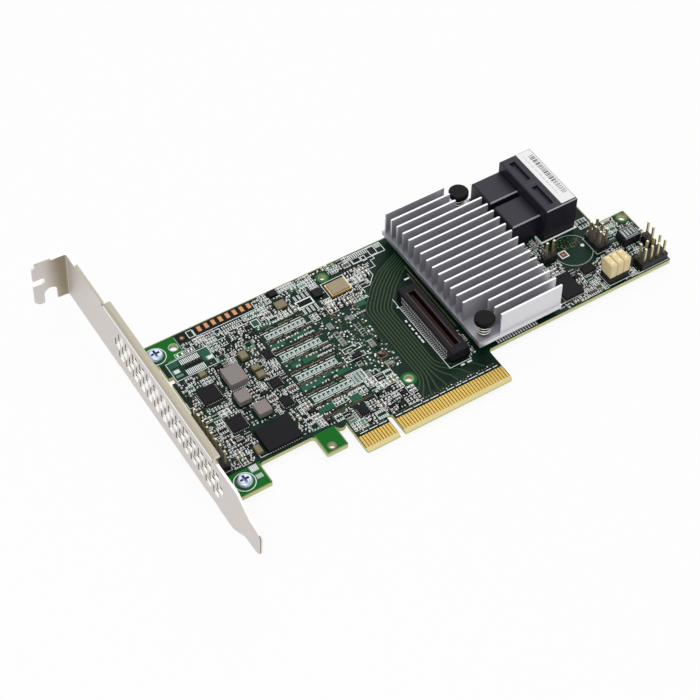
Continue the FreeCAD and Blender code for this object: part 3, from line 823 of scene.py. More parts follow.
class Pile:
    """Many small flat or boxed details in one mesh, in millimetres over one face of the board."""

    def __init__(self, name: str, palette: Palette, side: Side = Side.FRONT) -> None:
        """Starts an empty pile.

        Args:
            name: the object's name.
            palette: the finishes.
            side: the board's face.
        """
        self.name = name
        self.palette = palette
        self.side = side
        self.verts: list[Triple] = []
        self.faces: list[tuple[int, ...]] = []
        self.tags: list[int] = []
        self.keys: list[str] = []

    def _tag(self, key: str) -> int:
        """Number of a finish in this mesh.

        Args:
            key: the finish.

        Returns:
            Its slot.
        """
        if key not in self.keys:
            self.keys.append(key)
        return self.keys.index(key)

    def _point(self, x: float, y: float, z: float) -> int:
        """Adds one corner.

        Args:
            x: along the board.
            y: across the board.
            z: height over the face.

        Returns:
            Its number.
        """
        depth = z if self.side is Side.FRONT else -BOARD_T - z
        self.verts.append((x * MM, y * MM, depth * MM))
        return len(self.verts) - 1

    def face(self, corners: Iterable[Triple], key: str) -> None:
        """Adds one polygon, counter-clockwise as seen from outside the board's face.

        Args:
            corners: its points.
            key: the finish.
        """
        ids = [self._point(*c) for c in corners]
        if self.side is Side.BACK:
            ids.reverse()
        self.faces.append(tuple(ids))
        self.tags.append(self._tag(key))

    def quad(self, x0: float, y0: float, x1: float, y1: float, level: Union[Level, float],
             key: str) -> None:
        """Adds a flat rectangle.

        Args:
            x0: left.
            y0: low.
            x1: right.
            y1: high.
            level: height over the board.
            key: the finish.
        """
        z = level.value if isinstance(level, Level) else level
        self.face([(x0, y0, z), (x1, y0, z), (x1, y1, z), (x0, y1, z)], key)

    def box(self, x: float, y: float, wx: float, wy: float, z0: float, z1: float, key: str) -> None:
        """Adds a box without its bottom.

        Args:
            x: middle along the board.
            y: middle across the board.
            wx: width along X.
            wy: width along Y.
            z0: bottom.
            z1: top.
            key: the finish.
        """
        x0, x1, y0, y1 = x - wx / 2, x + wx / 2, y - wy / 2, y + wy / 2
        self.face([(x0, y0, z1), (x1, y0, z1), (x1, y1, z1), (x0, y1, z1)], key)
        self.face([(x0, y0, z0), (x1, y0, z0), (x1, y0, z1), (x0, y0, z1)], key)
        self.face([(x1, y0, z0), (x1, y1, z0), (x1, y1, z1), (x1, y0, z1)], key)
        self.face([(x1, y1, z0), (x0, y1, z0), (x0, y1, z1), (x1, y1, z1)], key)
        self.face([(x0, y1, z0), (x0, y0, z0), (x0, y0, z1), (x0, y1, z1)], key)

    def ring(self, x: float, y: float, inner: float, outer: float, level: Level, key: str,
             steps: int) -> None:
        """Adds a flat ring.

        Args:
            x: centre along the board.
            y: centre across the board.
            inner: inner radius.
            outer: outer radius.
            level: height over the board.
            key: the finish.
            steps: straight pieces.
        """
        z = level.value
        turns = [math.radians(360.0 * i / steps) for i in range(steps + 1)]
        for a, b in zip(turns, turns[1:]):
            corners = [(x + inner * math.cos(a), y + inner * math.sin(a), z),
                       (x + outer * math.cos(a), y + outer * math.sin(a), z),
                       (x + outer * math.cos(b), y + outer * math.sin(b), z),
                       (x + inner * math.cos(b), y + inner * math.sin(b), z)]
            self.face(corners, key)

    def disc(self, x: float, y: float, radius: float, level: Level, key: str,
             steps: int = 8) -> None:
        """Adds a flat disc.

        Args:
            x: centre along the board.
            y: centre across the board.
            radius: its radius.
            level: height over the board.
            key: the finish.
            steps: its sides.
        """
        z = level.value
        turns = [2 * math.pi * i / steps for i in range(steps)]
        self.face([(x + radius * math.cos(a), y + radius * math.sin(a), z) for a in turns], key)

    def strip(self, points: Sequence[Point], width: float, level: Level, key: str) -> None:
        """Adds a flat line with mitred corners.

        Args:
            points: its middle line.
            width: its width.
            level: height over the board.
            key: the finish.
        """
        z = level.value
        path = [Vector(p) for p in points]
        sides = []
        for i, here in enumerate(path):
            before = (here - path[i - 1]).normalized() if i else (path[1] - here).normalized()
            after = (path[i + 1] - here).normalized() if i + 1 < len(path) else before
            across = Vector((-(before + after).y, (before + after).x))
            straight = Vector((-after.y, after.x))
            across = across.normalized() if across.length > 1e-6 else straight
            bend = max(SHARPEST_MITRE, across.dot(straight))
            sides.append((here + across * width / 2 / bend, here - across * width / 2 / bend))
        for (a, b), (c, d) in zip(sides, sides[1:]):
            self.face([(b.x, b.y, z), (d.x, d.y, z), (c.x, c.y, z), (a.x, a.y, z)], key)

    def frame(self, x0: float, y0: float, x1: float, y1: float, width: float, key: str = "silk",
              level: Union[Level, float] = Level.SILK) -> None:
        """Adds an outline of four lines.

        Args:
            x0: left.
            y0: low.
            x1: right.
            y1: high.
            width: width of the line.
            key: the finish.
            level: height over the board.
        """
        self.quad(x0, y0, x1, y0 + width, level, key)
        self.quad(x0, y1 - width, x1, y1, level, key)
        self.quad(x0, y0 + width, x0 + width, y1 - width, level, key)
        self.quad(x1 - width, y0 + width, x1, y1 - width, level, key)

    def build(self, slot: str) -> bpy.types.Object:
        """Makes the object and joins it to the card.

        Args:
            slot: the record's material slot; not used.

        Returns:
            The object.
        """
        mesh = bpy.data.meshes.new(self.name)
        mesh.from_pydata(self.verts, [], self.faces)
        for key in self.keys:
            mesh.materials.append(self.palette[key])
        mesh.polygons.foreach_set("material_index", self.tags)
        mesh.update()
        made = bpy.data.objects.new(self.name, mesh)
        bpy.context.scene.collection.objects.link(made)
        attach(made, "root")
        LOG.info("%s: %d faces", self.name, len(self.faces))
        return made


def plan(node: str) -> Rect:
    """Outline box of a CAD node as seen from above.

    Args:
        node: the node's name.

    Returns:
        Its rectangle in millimetres.
    """
    low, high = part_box(node)
    return (low[0] / MM, low[1] / MM, high[0] / MM, high[1] / MM)


@dataclass
class Footprints:
    """Ground that the larger pieces take, so that small ones keep off it."""

    rects: list[Rect] = field(default_factory=list)

    def add_nodes(self, names: Iterable[str], margin: float) -> None:
        """Adds CAD nodes by their boxes.

        Args:
            names: the nodes.
            margin: room round each in millimetres.
        """
        for name in names:
            x0, y0, x1, y1 = plan(name)
            self.rects.append((x0 - margin, y0 - margin, x1 + margin, y1 + margin))

    def add(self, *rects: Rect) -> None:
        """Adds plain rectangles.

        Args:
            rects: the rectangles in millimetres.
        """
        self.rects.extend(rects)

    def add_round(self, x: float, y: float, radius: float) -> None:
        """Adds a round place by its square.

        Args:
            x: centre along the board.
            y: centre across the board.
            radius: its radius.
        """
        self.rects.append((x - radius, y - radius, x + radius, y + radius))

    def clear(self, rect: Rect) -> bool:
        """Whether a whole rectangle is clear.

        Args:
            rect: the rectangle in millimetres.

        Returns:
            True where nothing is there.
        """
        x0, y0, x1, y1 = rect
        return self.free((x0 + x1) / 2, (y0 + y1) / 2, (x1 - x0) / 2, (y1 - y0) / 2)

    def free(self, x: float, y: float, half_x: float, half_y: float) -> bool:
        """Whether a rectangle is clear.

        Args:
            x: its middle along the board.
            y: its middle across the board.
            half_x: half its width.
            half_y: half its height.

        Returns:
            True where nothing is there.
        """
        return not any(x + half_x > a and x - half_x < c and y + half_y > b and y - half_y < d
                       for a, b, c, d in self.rects)


@dataclass(frozen=True)
class PartSize:
    """A chip resistor's or capacitor's length, width and height, and the shape of its ends."""

    long: float
    wide: float
    high: float
    cap_share: float = 0.24
    pad_past: float = 0.12
    pad_half: float = 0.26


SMALL = PartSize(1.0, 0.52, 0.4)
MIDDLE = PartSize(1.25, 0.7, 0.5)
LARGE = PartSize(1.7, 0.95, 0.7)


def place_passive(pile: Pile, x: float, y: float, along: Axis, size: PartSize, body: str) -> None:
    """Adds one chip part with its pads and solder.

    Args:
        pile: where it goes.
        x: middle along the board.
        y: middle across the board.
        along: its long direction.
        size: its sizes.
        body: the body's finish.
    """
    def turned(lengthwise: float, crosswise: float) -> Point:
        """Puts a length and a width in the part's direction."""
        return (lengthwise, crosswise) if along is Axis.X else (crosswise, lengthwise)

    cap = size.long * size.cap_share
    reach = size.long / 2 + size.pad_past
    for sign in (-1, 1):
        dx, dy = turned((size.long - cap) / 2 * sign, 0.0)
        px, py = turned(reach * sign * 0.72, 0.0)
        hx, hy = turned(size.pad_half, size.wide * 0.6)
        pile.quad(x + px - hx, y + py - hy, x + px + hx, y + py + hy, Level.PAD, "tin")
        pile.box(x + dx, y + dy, *turned(cap, size.wide), Level.PAD.value, size.high, "solder")
    inner = size.long - 2 * cap
    pile.box(x, y, *turned(inner, size.wide), Level.PAD.value, size.high * 0.97, body)


class Kind(Enum):
    """What fills one small block of a crowded field."""

    ROW = 1
    BOXED = 2
    LONE = 3
    TRIPLE = 4
    ARRAY = 5
    VIAS = 6
    PADS = 7


@dataclass
class PassiveField:
    """A crowded field of chip parts in small blocks, each with its own kind and direction."""

    rect: Rect
    seed: int
    kinds: tuple[Kind, ...] = (Kind.ROW, Kind.ROW, Kind.BOXED, Kind.BOXED, Kind.LONE, Kind.TRIPLE,
                               Kind.ARRAY, Kind.VIAS, Kind.PADS)
    bodies: tuple[str, ...] = ("chip_brown", "chip_brown", "rust", "tan", "grey_part", "chip_brown",
                               "tan")
    block: Point = (2.9, 2.8)
    grounds: tuple[str, ...] = ("shade", "shade", "shade", "field", "jade", "pale")
    cover: float = 0.75
    filler: float = 3.0
    least: float = 0.8
    spread: Point = (0.7, 1.35)
    inset: float = 0.05
    via_room: float = 0.26
    lift: float = 0.05
    lead_z: float = 0.03
    pad_margin: float = 0.15
    pad_pitch: float = 0.62
    loose_outlines: float = 0.4
    middle_sizes: float = 0.3
    gaps_in_rows: float = 0.07
    row_corners: float = 0.6
    lone_outlines: float = 0.5
    vias: float = 0.62
    filled_pads: float = 0.6
    mark_steps: Triple = (0.34, 0.62, 0.84)

    def build(self, pile: Pile, taken: Footprints) -> None:
        """Fills the rectangle.

        Args:
            pile: where the parts go.
            taken: ground to keep off.
        """
        rng = random.Random(self.seed)
        x0, y0, x1, y1 = self.rect
        rows = max(1, round((y1 - y0) / self.block[1]))
        high = (y1 - y0) / rows
        draw = {Kind.ROW: self._row, Kind.BOXED: self._boxed, Kind.LONE: self._lone,
                Kind.TRIPLE: self._triple, Kind.ARRAY: self._array, Kind.VIAS: self._vias,
                Kind.PADS: self._pads}
        used = Footprints(list(taken.rects))
        for j in range(rows):
            x = x0
            while x < x1 - self.least:
                wide = min(x1 - x, self.block[0] * rng.uniform(*self.spread))
                rect = (x, y0 + j * high, x + wide, y0 + (j + 1) * high)
                if rng.random() < self.cover and taken.clear(rect):
                    pile.quad(*rect, Level.COPPER, rng.choice(self.grounds))
                draw[rng.choice(self.kinds)](pile, used, rng, rect)
                x += wide
        for _ in range(int((x1 - x0) * (y1 - y0) * self.filler)):
            self._loose(pile, used, rng)

    def _loose(self, pile: Pile, used: Footprints, rng: random.Random) -> None:
        """Tries one more small part or mark in a free place.

        Args:
            pile: where it goes.
            used: ground already taken.
            rng: the numbers' source.
        """
        x0, y0, x1, y1 = self.rect
        x, y = rng.uniform(x0 + 0.5, x1 - 0.5), rng.uniform(y0 + 0.5, y1 - 0.5)
        along = rng.choice((Axis.X, Axis.Y))
        half = (SMALL.long / 2 + 0.14, SMALL.wide / 2 + 0.1)
        if along is Axis.Y:
            half = (half[1], half[0])
        if used.free(x, y, *half):
            place_passive(pile, x, y, along, SMALL, rng.choice(self.bodies))
            if rng.random() < self.loose_outlines:
                pile.frame(x - half[0], y - half[1], x + half[0], y + half[1], 0.14)
            used.add((x - half[0], y - half[1], x + half[0], y + half[1]))
        elif used.free(x, y, self.via_room, self.via_room):
            self._via(pile, used, rng, x, y)
            used.add_round(x, y, self.via_room)

    def _cells(self, rect: Rect, step: Point) -> list[Rect]:
        """Cuts a block into even cells.

        Args:
            rect: the block.
            step: about the size of one cell.

        Returns:
            The cells.
        """
        x0, y0, x1, y1 = rect
        nx, ny = max(1, int((x1 - x0) / step[0])), max(1, int((y1 - y0) / step[1]))
        wx, wy = (x1 - x0) / nx, (y1 - y0) / ny
        return [(x0 + i * wx, y0 + j * wy, x0 + (i + 1) * wx, y0 + (j + 1) * wy)
                for i in range(nx) for j in range(ny)]

    def _row(self, pile: Pile, taken: Footprints, rng: random.Random, rect: Rect,
             framed: bool = False) -> None:
        """Even rows of one chip part.

        Args:
            pile: where the parts go.
            taken: ground to keep off.
            rng: the numbers' source.
            rect: the block.
            framed: whether each part has its printed outline.
        """
        along = rng.choice((Axis.X, Axis.Y))
        size = MIDDLE if rng.random() < self.middle_sizes else SMALL
        step = (size.long + 0.5, size.wide + 0.42)
        body = rng.choice(self.bodies)
        for x0, y0, x1, y1 in self._cells(rect, step if along is Axis.X else (step[1], step[0])):
            x, y = (x0 + x1) / 2, (y0 + y1) / 2
            inner = (x0 + 0.15, y0 + 0.15, x1 - 0.15, y1 - 0.15)
            if rng.random() < self.gaps_in_rows or not taken.clear(inner):
                self._via(pile, taken, rng, x, y)
                continue
            place_passive(pile, x, y, along, size, body)
            taken.add((x0, y0, x1, y1))
            if framed:
                pile.frame(x0, y0, x1, y1, HAIR)
        if not framed and rng.random() < self.row_corners:
            x0, y0, x1, y1 = rect
            corner = [(x0 + 0.06, y1 - 0.1), (x0 + 0.06, y0 + 0.06), (x1 - 0.1, y0 + 0.06)]
            pile.strip(corner, 0.16, Level.SILK, "silk")

    def _boxed(self, pile: Pile, taken: Footprints, rng: random.Random, rect: Rect) -> None:
        """Rows of chip parts with printed outlines.

        Args:
            pile: where the parts go.
            taken: ground to keep off.
            rng: the numbers' source.
            rect: the block.
        """
        self._row(pile, taken, rng, rect, True)

    def _lone(self, pile: Pile, taken: Footprints, rng: random.Random, rect: Rect) -> None:
        """One or two larger chip parts.

        Args:
            pile: where the parts go.
            taken: ground to keep off.
            rng: the numbers' source.
            rect: the block.
        """
        along = rng.choice((Axis.X, Axis.Y))
        step = (2.1, 1.3) if along is Axis.X else (1.3, 2.1)
        for x0, y0, x1, y1 in self._cells(rect, step):
            if not taken.clear((x0 + 0.1, y0 + 0.1, x1 - 0.1, y1 - 0.1)):
                continue
            body = rng.choice(("tan", "rust", "chip_brown", "tan"))
            place_passive(pile, (x0 + x1) / 2, (y0 + y1) / 2, along, LARGE, body)
            taken.add((x0, y0, x1, y1))
            if rng.random() < self.lone_outlines:
                pile.frame(x0 + self.inset, y0 + self.inset, x1 - self.inset, y1 - self.inset, HAIR)

    def _triple(self, pile: Pile, taken: Footprints, rng: random.Random, rect: Rect) -> None:
        """A small black package with a lead on each end.

        Args:
            pile: where the parts go.
            taken: ground to keep off.
            rng: the numbers' source.
            rect: the block.
        """
        x, y = (rect[0] + rect[2]) / 2, (rect[1] + rect[3]) / 2
        half_y = 1.2
        if not taken.free(x, y, 1.1, half_y):
            self._vias(pile, taken, rng, rect)
            return
        pile.box(x, y, 1.5, 1.3, self.lift, 0.8, "chip_brown")
        taken.add((x - 0.9, y - half_y, x + 0.9, y + half_y))
        for dx, dy in ((-0.48, -0.9), (0.48, -0.9), (0.0, 0.9), (-0.48, 0.9)):
            pile.box(x + dx, y + dy, 0.36, 0.55, self.lead_z, 0.25, "tin")
        mark = [(rect[0] + 0.1, y + 0.9), (rect[0] + 0.1, y - 0.9)]
        pile.strip(mark, 0.16, Level.SILK, "silk")

    def _array(self, pile: Pile, taken: Footprints, rng: random.Random, rect: Rect) -> None:
        """Chip arrays with four small ends on each long side.

        Args:
            pile: where the parts go.
            taken: ground to keep off.
            rng: the numbers' source.
            rect: the block.
        """
        half_x, half_y = 1.05, 0.8
        for x0, y0, x1, y1 in self._cells(rect, (2.2, 1.75)):
            x, y = (x0 + x1) / 2, (y0 + y1) / 2
            if not taken.free(x, y, half_x, half_y):
                self._via(pile, taken, rng, x, y)
                continue
            body = rng.choice(("chip_brown", "chip_brown", "rust"))
            pile.box(x, y, 1.9, 0.72, self.lift, 0.45, body)
            taken.add((x - half_x, y - half_y, x + half_x, y + half_y))
            for end in (x - 0.75, x - 0.25, x + 0.25, x + 0.75):
                for sign in (-1, 1):
                    pile.box(end, y + sign * 0.52, 0.27, 0.42, self.lead_z, 0.3, "tin")

    def _vias(self, pile: Pile, taken: Footprints, rng: random.Random, rect: Rect) -> None:
        """A dark block with plated holes and test pads.

        Args:
            pile: where they go.
            taken: ground to keep off.
            rng: the numbers' source.
            rect: the block.
        """
        if taken.clear(rect):
            pile.quad(*rect, Level.DARK_BLOCK, rng.choice(("shade", "shade", "field")))
        for x0, y0, x1, y1 in self._cells(rect, (0.85, 0.85)):
            if rng.random() < self.vias:
                x, y = rng.uniform(x0 + 0.2, x1 - 0.2), rng.uniform(y0 + 0.2, y1 - 0.2)
                self._via(pile, taken, rng, x, y)

    def _pads(self, pile: Pile, taken: Footprints, rng: random.Random, rect: Rect) -> None:
        """Two facing rows of empty pads in an outline.

        Args:
            pile: where they go.
            taken: ground to keep off.
            rng: the numbers' source.
            rect: the block.
        """
        if not taken.clear(rect):
            self._vias(pile, taken, rng, rect)
            return
        taken.add(rect)
        x0, y0, x1, y1 = rect
        pile.frame(x0 + self.inset, y0 + self.inset, x1 - self.inset, y1 - self.inset, HAIR)
        run = x1 - x0 - 2 * self.pad_margin
        count = max(2, int(run / self.pad_pitch))
        for i in range(count):
            x = x0 + self.pad_margin + (i + 0.5) * run / count
            for y in ((y0 * 0.78 + y1 * 0.22), (y0 * 0.22 + y1 * 0.78)):
                pile.quad(x - 0.17, y - 0.36, x + 0.17, y + 0.36, Level.PAD, "tin")
        if rng.random() < self.filled_pads:
            body = rng.choice(("chip_brown", "rust"))
            wide = (x1 - x0) * 0.72
            pile.box((x0 + x1) / 2, (y0 + y1) / 2, wide, 0.62, Level.PAD.value, 0.4, body)

    def _via(self, pile: Pile, taken: Footprints, rng: random.Random, x: float, y: float) -> None:
        """A plated hole, a test pad or a short mark.

        Args:
            pile: where it goes.
            taken: ground to keep off.
            rng: the numbers' source.
            x: along the board.
            y: across the board.
        """
        if not taken.free(x, y, 0.3, 0.3):
            return
        pick = rng.random()
        white, brown, level_mark = self.mark_steps
        if pick < white:
            pile.disc(x, y, rng.choice((0.2, 0.26)), Level.PAD, "silk")
        elif pick < brown:
            pile.disc(x, y, 0.22, Level.PAD, rng.choice(("brown", "tan")))
        elif pick < level_mark:
            pile.quad(x - 0.36, y - 0.09, x + 0.36, y + 0.09, Level.SILK, "silk")
        else:
            pile.quad(x - 0.09, y - 0.36, x + 0.09, y + 0.36, Level.SILK, "silk")


@dataclass
class MemoryBands:
    """Bands of boxed capacitors and via rows over the hidden memory packages."""

    x0: float = -17.0
    x1: float = -0.4
    y0: float = 21.6
    y1: float = 58.4
    seed: int = 77
    centres: tuple[float, ...] = (24.6, 34.0, 43.4, 52.8)
    planes: tuple[Rect, ...] = (
        (-16.8, 56.6, -6.0, 58.2), (-16.9, 47.6, -11.8, 49.4), (-16.9, 40.2, -8.2, 41.8),
        (-11.0, 37.9, -5.6, 40.4), (-6.0, 40.9, -0.6, 42.2), (-16.9, 28.7, -9.2, 32.0),
        (-8.6, 30.2, -3.4, 31.9), (-4.6, 28.6, -0.4, 30.2), (-14.0, 21.6, -0.4, 22.4),
        (-9.6, 47.9, -3.4, 49.6), (-5.8, 57.0, -0.8, 58.2), (-15.0, 38.2, -11.8, 39.8))
    cap_x0: float = -15.4
    cap_pitch: float = 1.55
    cap_count: int = 9
    cap_half: Point = (0.7, 1.08)
    margin: Point = (0.8, 1.15)
    via_rows: Point = (2.75, -2.35)
    lines: Point = (1.75, -1.6)
    pad_rows: Point = (-3.5, 4.1)

    def build(self, pile: Pile, taken: Footprints) -> None:
        """Draws every band.

        Args:
            pile: where it goes.
            taken: ground to keep off.
        """
        rng = random.Random(self.seed)
        pile.quad(self.x0, self.y0, self.x1, self.y1, Level.GROUND, "field")
        for rect in self.planes:
            pile.quad(*rect, Level.PLANE, "jade")
        for y in self.centres:
            self._caps(pile, y)
            for shift in self.via_rows:
                self._vias(pile, rng, y + shift)
            for shift in self.lines:
                self._line(pile, rng, y + shift)
            for shift in self.pad_rows:
                self._pads(pile, rng, taken, y + shift)

    def _caps(self, pile: Pile, y: float) -> None:
        """One row of boxed capacitor ends on a pale strip.

        Args:
            pile: where it goes.
            y: across the board.
        """
        last = self.cap_x0 + (self.cap_count - 1) * self.cap_pitch
        mx, my = self.margin
        hx, hy = self.cap_half
        pile.quad(self.cap_x0 - mx, y - my, last + mx, y + my, Level.COPPER, "pale")
        for i in range(self.cap_count):
            x = self.cap_x0 + i * self.cap_pitch
            pile.frame(x - hx, y - hy, x + hx, y + hy, 0.17)
            for sign in (-1, 1):
                end = y + sign * 0.6
                pile.quad(x - 0.3, end - 0.16, x + 0.3, end + 0.16, Level.PAD, "tin")
                pile.box(x, y + sign * 0.42, 0.53, 0.18, Level.PAD.value, 0.52, "solder")

    def _vias(self, pile: Pile, rng: random.Random, y: float) -> None:
        """One row of brown vias in a dark strip.

        Args:
            pile: where it goes.
            rng: the numbers' source.
            y: across the board.
        """
        pile.quad(self.x0, y - 0.42, self.x1, y + 0.42, Level.COPPER, "shade")
        x = self.x0 + 0.4
        while x < self.x1:
            if rng.random() < 0.86:
                shift = rng.choice((-0.12, 0.12))
                key = rng.choice(("brown", "brown", "tan", "rust"))
                pile.disc(x, y + shift, 0.28, Level.PAD, key)
            x += 0.66

    def _line(self, pile: Pile, rng: random.Random, y: float) -> None:
        """One broken printed line.

        Args:
            pile: where it goes.
            rng: the numbers' source.
            y: across the board.
        """
        x = self.x0
        while x < self.x1:
            run = rng.uniform(1.2, 4.0)
            key = rng.choice(("silk", "silk_dim", "silk"))
            pile.quad(x, y - 0.1, min(self.x1, x + run), y + 0.1, Level.SILK, key)
            x += run + rng.uniform(0.2, 0.9)

    def _pads(self, pile: Pile, rng: random.Random, taken: Footprints, y: float) -> None:
        """One loose row of pads and small parts.

        Args:
            pile: where it goes.
            rng: the numbers' source.
            taken: ground to keep off.
            y: across the board.
        """
        x = self.x0 + 0.5
        while x < self.x1 - 0.6:
            pick = rng.random()
            if pick < 0.4 and taken.free(x + 0.3, y, 0.7, 0.4):
                body = rng.choice(("tan", "chip_brown", "cream_part"))
                place_passive(pile, x + 0.3, y, Axis.X, SMALL, body)
            elif pick < 0.7:
                pile.quad(x, y - 0.2, x + 0.55, y + 0.22, Level.PAD, "tin")
            x += 1.5


@dataclass
class TraceBundle:
    """Parallel traces from the edge connector up round the module socket to the heat sink."""

    x0: float = 15.6
    pitch: float = 1.02
    width: float = 0.44
    feet: tuple[float, ...] = (9.2, 12.4, 15.2, 17.8, 20.8, 24.8, 29.4, 34.6)
    foot_y: float = 8.3
    end_x: float = 36.4
    ground: tuple[Point, ...] = ((15.0, 9.0), (24.2, 9.0), (24.2, 44.0), (36.2, 56.0), (36.2, 63.0),
                                 (30.0, 60.5), (22.0, 54.0), (15.0, 46.5))

    def build(self, pile: Pile) -> None:
        """Draws the traces.

        Args:
            pile: where they go.
        """
        pile.face([(x, y, Level.TRACE_GROUND.value) for x, y in self.ground], "deep")
        for i, foot in enumerate(self.feet):
            x = self.x0 + i * self.pitch
            out = foot - x
            y = 44.5 - 0.5 * i
            top_x, top_y = x + 12.0, y + 13.0
            bend = 10.6 + 0.3 * i
            path = [(foot, self.foot_y), (x + 0.8 * out, bend - 1.2), (x + 0.42 * out, bend + 0.9),
                    (x + 0.12 * out, bend + 3.2), (x, bend + 5.6), (x, 30.0), (x, y),
                    (x + 0.4, y + 1.7), (x + 1.5, y + 3.2), (x + 6.5, y + 8.6), (top_x, top_y),
                    (self.end_x, top_y + 0.45 * (self.end_x - top_x))]
            pile.strip(path, self.width, Level.COPPER, "trace")


def screw_rings(pile: Pile) -> None:
    """Prints a ring round each screw.

    Args:
        pile: where they go.
    """
    for centre in SCREWS:
        pile.ring(*centre, *SCREW_RING, Level.SILK, "silk", 36)


@dataclass
class BoardPrint:
    """Printed lines, pads and copper marks with a known place."""

    block_z: float = 3.11

    def build(self, pile: Pile) -> None:
        """Draws them all.

        Args:
            pile: where they go.
        """
        self._corners(pile)
        self._upper_left(pile)
        self._lower_middle(pile)
        self._under_sink(pile)
        self._edge_pads(pile)
        self._fine_footprint(pile)
        self._small_outline(pile)
        self._module(pile)
        self._top_panel(pile)
        self._columns(pile)
        self._middle(pile)
        self._tongue(pile)
        self._far_end(pile)
        self._rims(pile)

    def _corners(self, pile: Pile) -> None:
        """Rings round the screws and the round holes.

        Args:
            pile: where they go.
        """
        screw_rings(pile)
        for hole, inner, outer, key in ((HOLE_SCREW, 1.35, 1.62, "silk_dim"),
                                        (HOLE_TOP, 1.05, 1.9, "trace_bright"),
                                        (HOLE_LOW, 1.25, 1.95, "trace_bright"),
                                        (HOLE_HOOK, 1.0, 1.42, "tan"),
                                        (HOLE_FAR, 1.25, 1.75, "tan")):
            pile.ring(*hole, inner, outer, Level.PAD, key, 28)
        pile.ring(*HOLE_TOP, 1.02, 1.3, Level.SILK, "tan", 28)
        pile.ring(*HOLE_LOW, 1.22, 1.5, Level.SILK, "cream_part", 28)
        pile.quad(-44.9, 11.2, -42.3, 13.6, Level.SILK, "silk_dim")
        pile.quad(-44.5, 8.4, -42.4, 10.0, Level.SILK, "silk_dim")
        for i in range(5):
            pile.quad(-44.7 + i * 0.5, 11.5, -44.5 + i * 0.5, 13.3, Level.TOP_SILK, "silk")
        pile.quad(-39.4, 64.9, -36.2, 68.0, Level.COPPER, "shade")
        pile.disc(-37.9, 66.4, 1.0, Level.PAD, "umber")
        pile.disc(-37.9, 66.4, 0.5, Level.SILK, "copper")
        pile.frame(-36.0, 65.0, -33.9, 67.9, LINE)
        pile.strip([(-40.0, 67.9), (-40.0, 60.0), (-46.0, 60.0)], THIN, Level.SILK, "silk_dim")

    def _upper_left(self, pile: Pile) -> None:
        """Comb of pads, framed group and a framed square under the copper pads.

        Args:
            pile: where they go.
        """
        pile.quad(-26.0, 61.2, -19.6, 64.2, Level.COVER, "shade")
        for i in range(8):
            x = -25.6 + i * 0.74
            pile.quad(x, 61.7, x + 0.34, 63.9, Level.PAD, "silk")
            pile.quad(x + 0.05, 62.4, x + 0.29, 63.2, Level.SILK, "rust")
        pile.strip([(-26.0, 61.3), (-19.4, 61.3), (-19.4, 64.0)], LINE, Level.SILK, "silk")
        pile.frame(-33.6, 59.7, -26.3, 63.9, LINE)
        pile.quad(-17.1, 58.2, -14.5, 61.1, Level.PAD, "jade")
        pile.frame(-17.1, 58.2, -14.5, 61.1, HEAVY)
        pile.frame(-22.4, 61.0, -17.4, 63.0, THIN)
        for x0, x1 in ((-43.2, -39.8), (-39.5, -36.6)):
            pile.frame(x0, 60.1, x1, 61.8, THIN)
            pile.quad(x0 + 0.6, 60.5, x0 + 1.2, 61.4, Level.PAD, "silk")
            pile.quad(x1 - 1.2, 60.5, x1 - 0.6, 61.4, Level.PAD, "silk")

    def _lower_middle(self, pile: Pile) -> None:
        """Ticks under the large inductor and green planes above the key notch's shoulder.

        Args:
            pile: where they go.
        """
        for i in range(12):
            x = -35.4 + i * 0.62
            pile.quad(x, 39.9, x + 0.3, 40.9, Level.PAD, "silk")
        for plane in ((-16.8, 18.9, -11.8, 21.3), (-11.4, 20.0, -7.0, 21.4),
                      (-6.4, 17.2, -3.2, 20.2), (-14.6, 15.2, -9.8, 16.6),
                      (-3.0, 19.4, -0.3, 21.4)):
            pile.quad(*plane, Level.OVER_PLANE, "jade")
        for i in range(34):
            x = -16.8 + i * 0.5
            for y in (16.8, 17.3):
                pile.disc(x, y, 0.16, Level.PAD, "brown")

    def _under_sink(self, pile: Pile) -> None:
        """Row of pads at the board's edge under the heat sink.

        Args:
            pile: where they go.
        """
        for i in range(16):
            x = 43.2 + i * 0.95
            pile.quad(x, 13.4, x + 0.5, 14.8, Level.PAD, "silk")

    def _edge_pads(self, pile: Pile) -> None:
        """Row of bare copper pads along the top edge.

        Args:
            pile: where they go.
        """
        pile.quad(-33.6, 64.6, -12.8, 68.4, Level.COPPER, "shade")
        for i in range(8):
            x = -31.6 + i * 2.5
            pile.quad(x - 0.78, 65.7, x + 0.8, 68.1, Level.COVER, "umber")
            pile.quad(x - 0.58, 65.85, x + 0.58, 67.95, Level.PAD, "copper")
        outline = [(-33.7, 67.6), (-33.7, 64.6), (-12.8, 64.6), (-12.8, 67.4), (-9.4, 67.4)]
        pile.strip(outline, LINE, Level.SILK, "silk")

